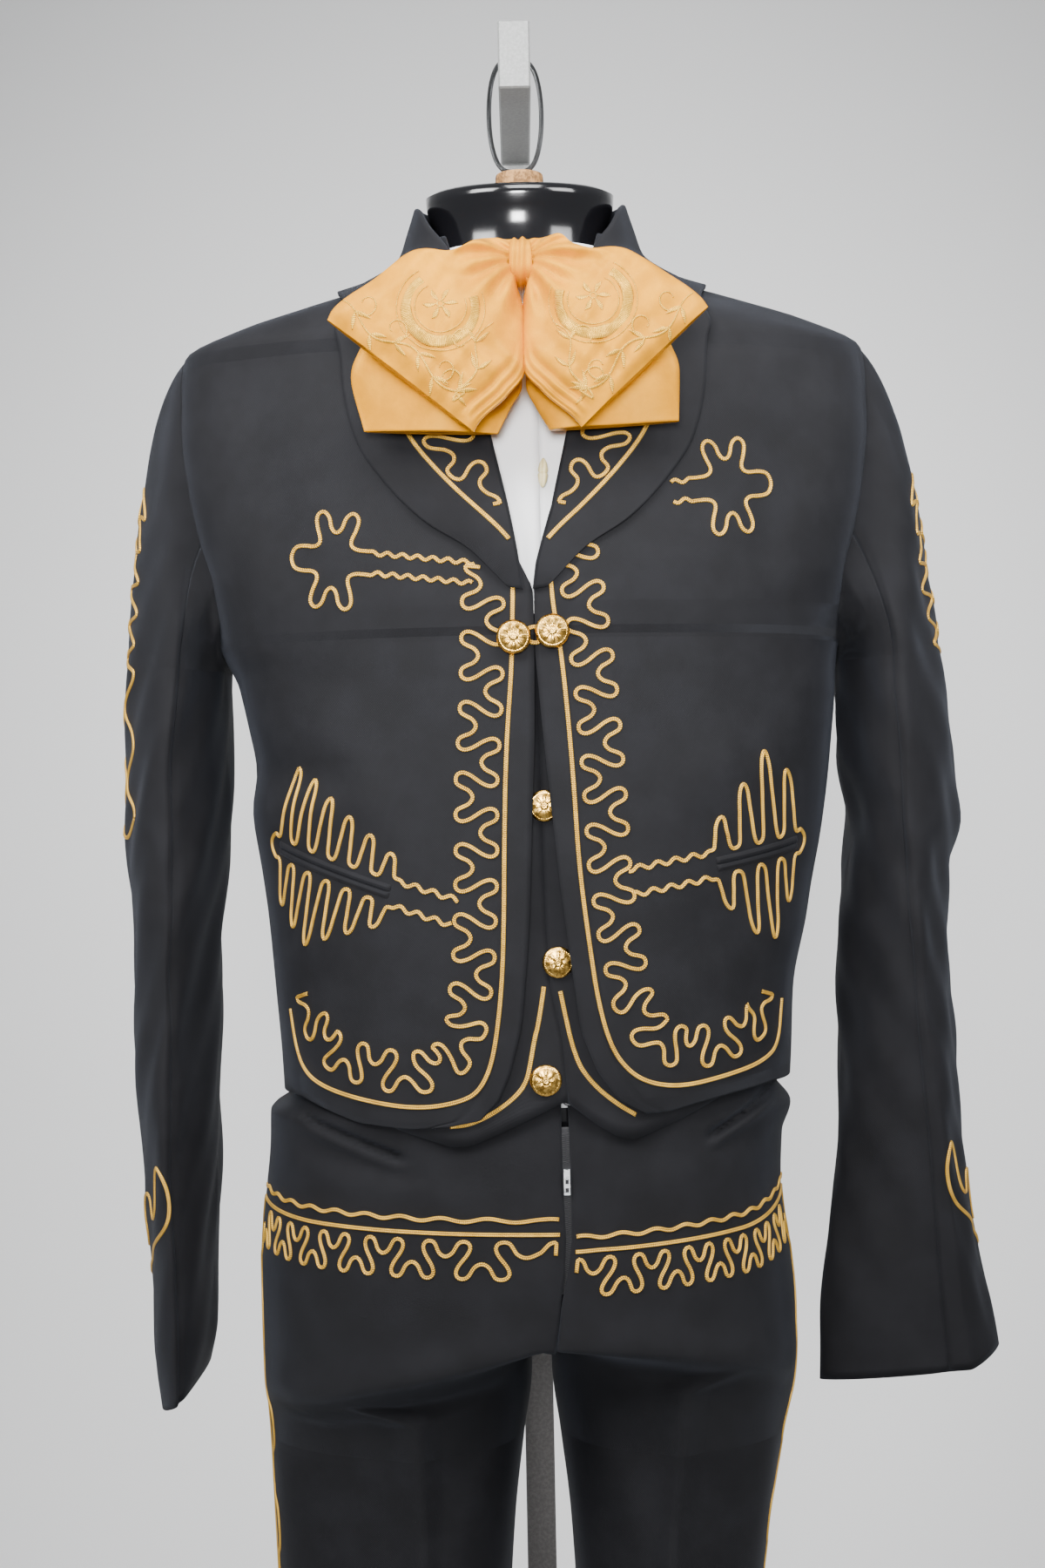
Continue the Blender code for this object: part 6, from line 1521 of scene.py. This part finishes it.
def struck(name, spot, square, size, lift, high):
    """A button: flat back, rolled rim and a domed face with relief."""
    square = square / np.linalg.norm(square)
    side = np.cross(square, (0.0, 0.0, 1.0))
    side = side / np.linalg.norm(side)
    over = np.cross(side, square)

    def place(u, v):
        a = 2 * np.pi * u
        r = np.interp(v, (0, 0.08, 0.12, 0.17, 0.21, 1.0), (0, 0.95, 1.0, 1.0, 0.965, 0.0))
        up = np.interp(v, (0, 0.08, 0.12, 0.17, 0.21), (0, 0, 0.10, 0.30, 0.40))
        dome = 0.34 + 0.66 * np.sqrt(np.clip(1 - (r / 1.02) ** 2, 0, 1))
        relief = 0.050 * hill(r - 0.86, 0.035) * (1 + 0.6 * np.sin(a * 36))
        relief += 0.065 * np.clip(np.cos(a * 8), 0, 1) ** 0.6 * hill(r - 0.50, 0.20)
        relief -= 0.04 * hill(np.sin(a * 8) * r, 0.05) * hill(r - 0.5, 0.24)
        relief += 0.07 * hill(r - 0.16, 0.07) - 0.03 * hill(r - 0.27, 0.03) + 0.06 * hill(r, 0.07)
        up = np.where(v <= 0.21, up, np.maximum(dome + relief, 0.38))
        return spot + round_at(a, r, side, over) * (size / 2) + np.outer(lift + up * high, square)

    made = surface(name, place, 108, 50, gilt, merge=True)
    return made


BUTTON_D = 0.021
VEST_BUTTON_D = 0.0195
for word, x, z in (("right", -0.0092, 1.2738), ("left", 0.0141, 1.2770)):
    spots, squares = lay(on_jacket(((x, z),)))
    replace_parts(struck("linked_button_" + word, spots[0], squares[0], BUTTON_D, 0.0022, 0.0050),
                "jacket_button_" + word)
VEST_BUTTONS = (
    # x, z and how far it stands off
    (0.0073, 1.1716, 0.0007),
    (0.0140, 1.0759, 0.0007),
    (0.0052, 1.0037, 0.0008),
)
for i, (x, z, lift) in enumerate(VEST_BUTTONS):
    spots, squares = lay(((float(girth(VEST, x, z)), z),), VEST, None)
    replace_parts(struck("vest_front_button_%d" % (i + 1), spots[0], squares[0], VEST_BUTTON_D, lift, 0.0034),
                "vest_button_%d" % (i + 1))

turn = np.linspace(0, 2 * np.pi, 90)
link_at = np.stack([0.0033 + 0.0058 * np.cos(turn), 1.2752 + 0.0048 * np.sin(turn)], -1)
link = soutache("button_link_cord", lay(on_jacket(link_at)), 0.0026, 0.0016, closed=True, gap=0.0006)
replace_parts(link, "button_link")

plastic = Finish("dark_plastic_button", (0.022, 0.022, 0.025), 0.35)
plastic.roughness(plastic.cloud(500, 3) * 0.2 + 0.25)
plastic.raise_by(plastic.cloud(800, 2), 0.00003)
WAIST_BUTTON_AT = (0.0184, 0.9915)
WAIST_BUTTON_R = 0.0038
spots, squares = lay(((float(girth(VEST, *WAIST_BUTTON_AT)), WAIST_BUTTON_AT[1]),), VEST, None)


def flat_button(u, v):
    a = 2 * np.pi * u
    square = squares[0]
    side = np.cross(square, (0.0, 0.0, 1.0))
    over = np.cross(side, square)
    r = np.interp(v, (0, 0.2, 0.35, 0.5, 0.7, 1), (0, 0.95, 1.0, 0.92, 0.70, 0)) * WAIST_BUTTON_R
    up = np.interp(v, (0, 0.2, 0.35, 0.5, 0.7, 1), (0, 0, 0.0006, 0.0012, 0.0008, 0.0008)) - 0.0016
    return spots[0] + round_at(a, r, side, over) + np.outer(up, square)


waist_button = surface("waist_button", flat_button, 40, 20, plastic, merge=True)

# ---------------------------------------------------------------- bow
# A wide bow of mustard-gold satin: two padded upper lobes folded back on themselves over two lower ones,
# a knot round the middle and a band round the neck. The upper lobes are embroidered with a plain
# horseshoe round a rosette and a curling leafy vine.
BOW_UPPER = (
    # across  top x, z          low x, z           depth   half thick
    (-1.00, -0.1164, 1.4628, -0.0306, 1.3943, -0.1610, 0.0080),
    (-0.93, -0.1130, 1.4690, -0.0265, 1.4010, -0.1610, 0.0120),
    (-0.70, -0.0870, 1.4875, -0.0100, 1.4160, -0.1600, 0.0165),
    (-0.42, -0.0560, 1.5105, 0.0010, 1.4345, -0.1525, 0.0170),
    (-0.22, -0.0300, 1.5165, 0.0012, 1.4640, -0.1440, 0.0160),
    (-0.14, -0.0190, 1.5155, -0.0010, 1.4790, -0.1380, 0.0130),
    (-0.08, -0.0112, 1.5153, -0.0030, 1.4860, -0.1340, 0.0110),
    (0.00, -0.0010, 1.5147, -0.0010, 1.4915, -0.1335, 0.0105),
    (0.08, 0.0094, 1.5153, 0.0028, 1.4860, -0.1340, 0.0110),
    (0.14, 0.0160, 1.5160, 0.0008, 1.4790, -0.1380, 0.0130),
    (0.22, 0.0270, 1.5180, -0.0006, 1.4640, -0.1440, 0.0160),
    (0.42, 0.0510, 1.5095, -0.0008, 1.4360, -0.1525, 0.0170),
    (0.70, 0.0810, 1.4905, 0.0108, 1.4180, -0.1600, 0.0165),
    (0.93, 0.1065, 1.4715, 0.0290, 1.4020, -0.1610, 0.0120),
    (1.00, 0.1102, 1.4663, 0.0337, 1.3962, -0.1610, 0.0080),
)
BOW_LOWER = (
    (-1.00, -0.0975, 1.4003, -0.0165, 1.3975, -0.1345, 0.0065),
    (-0.80, -0.1050, 1.4330, -0.0085, 1.4130, -0.1330, 0.0090),
    (-0.60, -0.1000, 1.4500, -0.0012, 1.4275, -0.1300, 0.0095),
    (-0.35, -0.0600, 1.4800, -0.0008, 1.4500, -0.1220, 0.0100),
    (-0.09, -0.0110, 1.5080, -0.0095, 1.4890, -0.1080, 0.0100),
    (0.00, -0.0010, 1.5070, -0.0010, 1.4930, -0.1060, 0.0095),
    (0.09, 0.0090, 1.5080, 0.0080, 1.4890, -0.1080, 0.0100),
    (0.35, 0.0560, 1.4800, 0.0008, 1.4500, -0.1220, 0.0100),
    (0.60, 0.0900, 1.4500, 0.0012, 1.4275, -0.1300, 0.0095),
    (0.80, 0.0945, 1.4330, 0.0070, 1.4130, -0.1330, 0.0090),
    (1.00, 0.0935, 1.4030, 0.0150, 1.3990, -0.1345, 0.0065),
)
satin = Finish("mustard_satin", (0.60, 0.245, 0.002), 0.46, specular_ior_level=0.5,
               specular_tint=(1.0, 0.56, 0.08, 1.0))
slub = satin.cloud(60, 4, 0.6)
satin.colour(satin.blend(slub.between(0.3, 0.8), (0.58, 0.230, 0.0), (0.76, 0.310, 0.0)))
satin.roughness(slub * 0.18 + 0.34)
satin.raise_by(satin.cloud(110, 3) * 0.9 + satin.cloud(900, 2) * 0.15, 0.0006, 0.6)


def lobes(table, relief):
    """A soft folded piece lofted across the bow through its pinched middle."""
    def place(u, v):
        across = np.clip((v - 0.04) / 0.92, 0, 1) * 2 - 1
        cap = np.sin(np.clip(np.minimum(v, 1 - v) / 0.04, 0, 1) * np.pi / 2)
        top_x, top_z, low_x, low_z, depth, fat = through(table, across)
        a = 2 * np.pi * u
        c, s = np.cos(a), np.sin(a)
        puff = np.sign(s) * np.abs(s) ** 0.75
        middle = np.stack([(top_x + low_x) / 2, depth, (top_z + low_z) / 2], -1)
        half = np.stack([(top_x - low_x) / 2, 0 * depth, (top_z - low_z) / 2], -1)
        spot = middle + half * c[:, None] * (0.9 + 0.1 * cap)[:, None]
        out = -puff * fat * cap
        out, shrink = relief(across, a, spot, out)
        spot = spot - half * shrink[:, None]
        spot[..., 1] += out
        return spot
    return place


BOW_MIDDLE_Z = 1.5030


def upper_relief(across, a, spot, out):
    """Pleats fanning from the knot, the mouth of each lobe at its top and the folded layers at its foot."""
    x, z = spot[..., 0], spot[..., 2] - BOW_MIDDLE_Z
    r = np.hypot(x, z)
    fan = np.arctan2(z, np.abs(x))
    front = np.clip(np.sin(a) * 3, 0, 1)
    pleat = np.sin(fan * 13 + 1.2 * np.sign(x)) * np.exp(-((r - 0.026) / 0.016) ** 2) * 0.0034
    pleat += np.sin(fan * 6 + 0.4) * np.exp(-((r - 0.045) / 0.022) ** 2) * 0.0026
    fine = np.sin(x * 310 + z * 140 + 2 * np.sin(z * 97)) + np.sin(z * 270 - x * 230 + 3 * np.sin(x * 61))
    pucker = 0.0006 * fine * np.clip(r / 0.03 - 0.6, 0, 1)
    layers = hill(np.cos(a) + 0.80, 0.030) + hill(np.cos(a) + 0.91, 0.025) + hill(np.cos(a) + 0.975, 0.015)
    layers = layers * front * np.clip((0.97 - np.abs(across)) / 0.10, 0, 1)
    layers = layers * np.clip((np.abs(across) - 0.36) / 0.25, 0, 1)
    top = np.minimum(a, 2 * np.pi - a)
    mouth = 0.42 * hill(np.abs(across) - 0.32, 0.11) * hill(top, 0.55)
    return out - (pleat + pucker) * front + 0.0034 * layers, mouth


def lower_relief(_, a, spot, out):
    """Shallow waves fanning from the knot."""
    x, z = spot[..., 0], spot[..., 2] - BOW_MIDDLE_Z
    wave = 0.0022 * np.sin(np.arctan2(z, np.abs(x)) * 9 + np.sign(x)) * np.clip(np.sin(a) * 3, 0, 1)
    return out - wave * np.clip(np.hypot(x, z) / 0.03 - 0.5, 0, 1), np.zeros(a.shape)


upper_place = lobes(BOW_UPPER, upper_relief)
upper = surface("satin_upper_lobes", upper_place, 120, 240, satin, 0.25, 0.30, merge=True)
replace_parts(upper, "bow_upper")
lower = surface("satin_lower_lobes", lobes(BOW_LOWER, lower_relief), 90, 180, satin, 0.20, 0.30, merge=True)
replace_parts(lower, "bow_lower")


def knot_shape(u, v):
    a = 2 * np.pi * u
    c = np.sign(np.cos(a)) * np.abs(np.cos(a)) ** 0.65
    s = np.sign(np.sin(a)) * np.abs(np.sin(a)) ** 0.65
    fold = 0.0010 * np.sin(v * 14 + 1.0 * s) * np.sin(np.pi * v) - 0.0016 * (2 * v - 1) ** 4
    pinch = 0.0016 * (1 - s) * (v - 0.5)
    y = -0.1123 - (0.0368 + fold) * c
    return np.stack([-0.0085 + 0.0155 * v - pinch, y, 1.5015 - (0.0155 + fold) * s], -1)


knot = thick(surface("satin_knot", knot_shape, 120, 26, satin, 0.18, 0.016, merge=True), 0.0010)
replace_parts(knot, "bow_knot")
NECKBAND = (
    (1.500, 0.0722, 0.0722, 0.0738, 0.0690, 2.1),
    (1.534, 0.0722, 0.0722, 0.0738, 0.0690, 2.1),
)


def neckband(u, v):
    turn = 90 - 359.6 * u
    spot = ring(NECKBAND, turn, 0 * u + 1.52)
    dip = 0.0205 * np.maximum(0.0, np.sin(np.radians(turn))) ** 3
    spot[..., 2] = 1.5215 + 0.0135 * v - dip
    spot[..., :2] *= (1 + 0.008 * np.sin(np.pi * v))[:, None]
    return spot


neck = thick(surface("satin_neckband", neckband, 160, 10, satin, 0.44, 0.0135), 0.0012)
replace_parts(neck, "bow_neckband")

# The embroidery: satin stitch in paler gold thread, raised a little from the cloth.
gold_thread = Finish("gold_embroidery_thread", (0.90, 0.52, 0.09), 0.38, 0.45,
                     specular_tint=(1.0, 0.70, 0.20, 1.0))
across_thread, along_thread, _ = gold_thread.split(gold_thread.place("UV"))
stitch = (along_thread * 7800.0 + across_thread * 2.0).sin() * 0.5 + 0.5
painted_glints = gold_thread.cloud(240, 4, 0.6)
# Colour runs dark to bright with the stitches and in random spots: painted highlights on the stitches with
# painted shade between, and painted glints in the spots.
gold_thread.colour(gold_thread.blend((stitch * 0.4 + painted_glints * 0.7).between(0.2, 0.85), (0.42, 0.190, 0.002),
                                     (0.92, 0.52, 0.060)))
gold_thread.raise_by(stitch, 0.00025, 0.8)
satin_bm = bmesh.new()
satin_bm.from_mesh(upper.data)
satin_tree = BVHTree.FromBMesh(satin_bm)
satin_bm.free()


def drop_on_bow(path):
    """Puts x, z points on the front of the upper lobes."""
    spots, squares = [], []
    for x, z in path:
        hit, square, _, _ = satin_tree.ray_cast(Vector((x - MIDDLE[0], -0.6, z)), Vector((0.0, 1.0, 0.0)))
        if hit is not None:
            spots.append(np.array(hit) + MIDDLE)
            squares.append(np.array(square))
    squares = np.array(squares)
    pad = np.pad(squares, ((6, 6), (0, 0)), "edge")
    return np.array(spots), sum(pad[i:i + len(squares)] for i in range(13)) / 13


STITCH_HIGH = 0.0006
STITCH = ((-0.5, 0.0), (-0.42, 0.7), (-0.2, 1.0), (0.2, 1.0), (0.42, 0.7), (0.5, 0.0))


def stitched(name, path, widths):
    """A raised band of satin stitch along a path, as wide as widths say from end to end."""
    spots, squares = drop_on_bow(even(np.asarray(path, float), 0.0006))
    wide = np.interp(np.linspace(0, 1, len(spots)), np.linspace(0, 1, len(widths)), widths)
    piece = cord(name, spots, squares, STITCH, wide, STITCH_HIGH, 0.0, 0.00015, gold_thread)
    return piece


EYE_R = 0.0019
for word, side, cx, cz in (("right", -1, -0.0485, 1.4665), ("left", 1, 0.0415, 1.4695)):
    lean = math.radians(20 * side)

    def turned_by(a, r, cx=cx, cz=cz, lean=lean):
        return (cx + r * math.sin(a + lean), cz - r * math.cos(a + lean))

    arc = np.radians(np.linspace(-128, 128, 90))
    shoe = [turned_by(a, 0.0205) for a in arc]
    stitched("horseshoe_%s" % word, shoe, (0.0060, 0.0072, 0.0078, 0.0072, 0.0060))
    for label, r in (("inner", 0.0152), ("outer", 0.0260)):
        rim = [turned_by(a, r) for a in arc * 1.02]
        stitched("horseshoe_%s_line_%s" % (label, word), rim, (0.0009, 0.0009))
    for k in range(6):
        petal = 2 * math.pi * k / 6
        tip = [(cx + d * math.cos(petal + bend), cz + 0.002 + d * math.sin(petal + bend))
               for d, bend in ((0.0022, 0.0), (0.0050, 0.10), (0.0080, 0.10), (0.0104, 0.0))]
        stitched("rosette_petal_%s_%d" % (word, k), rounded(tip, 2), (0.0008, 0.0030, 0.0036, 0.0006))
    eye = [(cx + EYE_R * math.cos(a), cz + 0.002 + EYE_R * math.sin(a)) for a in np.linspace(0, 6.3, 20)]
    stitched("rosette_eye_%s" % word, eye, (0.0013, 0.0013))

    corner_out = np.array((side * 0.110 - 0.003, 1.4630))
    tip_low = np.array((side * 0.0330 - 0.001, 1.4040))
    inner_up = np.array((side * 0.0125, 1.4560))
    t = np.linspace(0, 1, 30)[:, None]
    upward = np.array((-side * 0.52, 0.85))
    outward = np.array((side * 0.93, 0.36))
    low_run = corner_out + (tip_low - corner_out) * t + upward * (0.0085 + 0.0042 * np.sin(t * 12.6 + 1.2))
    rise = tip_low + (inner_up - tip_low) * t + outward * (0.0075 + 0.0035 * np.sin(t * 9.4 + 0.6))
    stem = rounded(np.vstack((low_run[:-2], rise[2:])), 2)
    stitched("vine_stem_%s" % word, stem, (0.0010, 0.0018, 0.0018, 0.0018, 0.0010))
    stem = even(stem, 0.001)
    way = along_path(stem)
    for k, where in enumerate((0.07, 0.17, 0.27, 0.37, 0.47, 0.57, 0.70, 0.80, 0.90)):
        i = int(where * (len(stem) - 1))
        hand = (1 if k % 2 else -1) * side
        forward = way[i]
        sideways = np.array((-forward[1], forward[0])) * hand
        curl = []
        for t in np.linspace(0, 1, 26):
            a = t * 5.4
            r = 0.0080 * (1 - 0.64 * t)
            curl.append(stem[i] + sideways * (0.0080 - r * math.cos(a)) + forward * (r * math.sin(a)))
        if k % 2 == 0:
            stitched("vine_curl_%s_%d" % (word, k), curl, (0.0015, 0.0014, 0.0008))
        for way_out, reach in ((-0.9, 0.0080), (0.6, 0.0092)):
            leaf_dir = sideways * (-way_out if k % 2 else way_out) + forward * 0.75
            leaf = [stem[i] + leaf_dir * (reach * t) + forward * (0.002 * t * t)
                    for t in np.linspace(0.05, 1, 8)]
            stitched("vine_leaf_%s_%d_%d" % (word, k, way_out > 0), leaf, (0.0008, 0.0032, 0.0026, 0.0005))

# ---------------------------------------------------------------- wooden toggle
# A turned spindle of pale wood that closes the shirt below the bow.
TOGGLE_AT = (0.0105, 1.3745)
TOGGLE_LONG = 0.020
TOGGLE_V = (0, 0.06, 0.2, 0.42, 0.46, 0.5, 0.54, 0.58, 0.8, 0.94, 1)
TOGGLE_R = (0, 0.0012, 0.0025, 0.0033, 0.0030, 0.0024, 0.0030, 0.0033, 0.0025, 0.0012, 0)
wood = Finish("toggle_boxwood", (0.62, 0.48, 0.28), 0.5)
wood_x, _, _ = wood.split(wood.place())
lines = (wood_x * 2600.0 + wood.cloud(70, 3) * 7.0).sin() * 0.5 + 0.5
wood.colour(wood.blend(lines, (0.66, 0.54, 0.24), (0.84, 0.74, 0.42)))
wood.roughness(lines * 0.15 + 0.42)
spots, squares = lay(((float(girth(FORM, *TOGGLE_AT)), TOGGLE_AT[1]),), FORM, None)
centre = spots[0] + squares[0] * (0.0020 + 0.0038)
axis = np.array((0.05, 0.26, 1.0)) / np.linalg.norm((0.05, 0.26, 1.0))


def spindle(u, v):
    a = 2 * np.pi * u
    r = np.interp(v, TOGGLE_V, TOGGLE_R)
    side = np.cross(axis, (0.0, 1.0, 0.0))
    over = np.cross(side, axis)
    return centre + round_at(a, r, side, over) + np.outer((v - 0.5) * TOGGLE_LONG, axis)


toggle = surface("toggle_spindle", spindle, 32, 44, wood, merge=True)
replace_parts(toggle, "shirt_toggle")

low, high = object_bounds()
({"cad": [list(map(float, end)) for end in CAD_BOX], "scene": [list(map(float, low)),
                                                                        list(map(float, high))]})
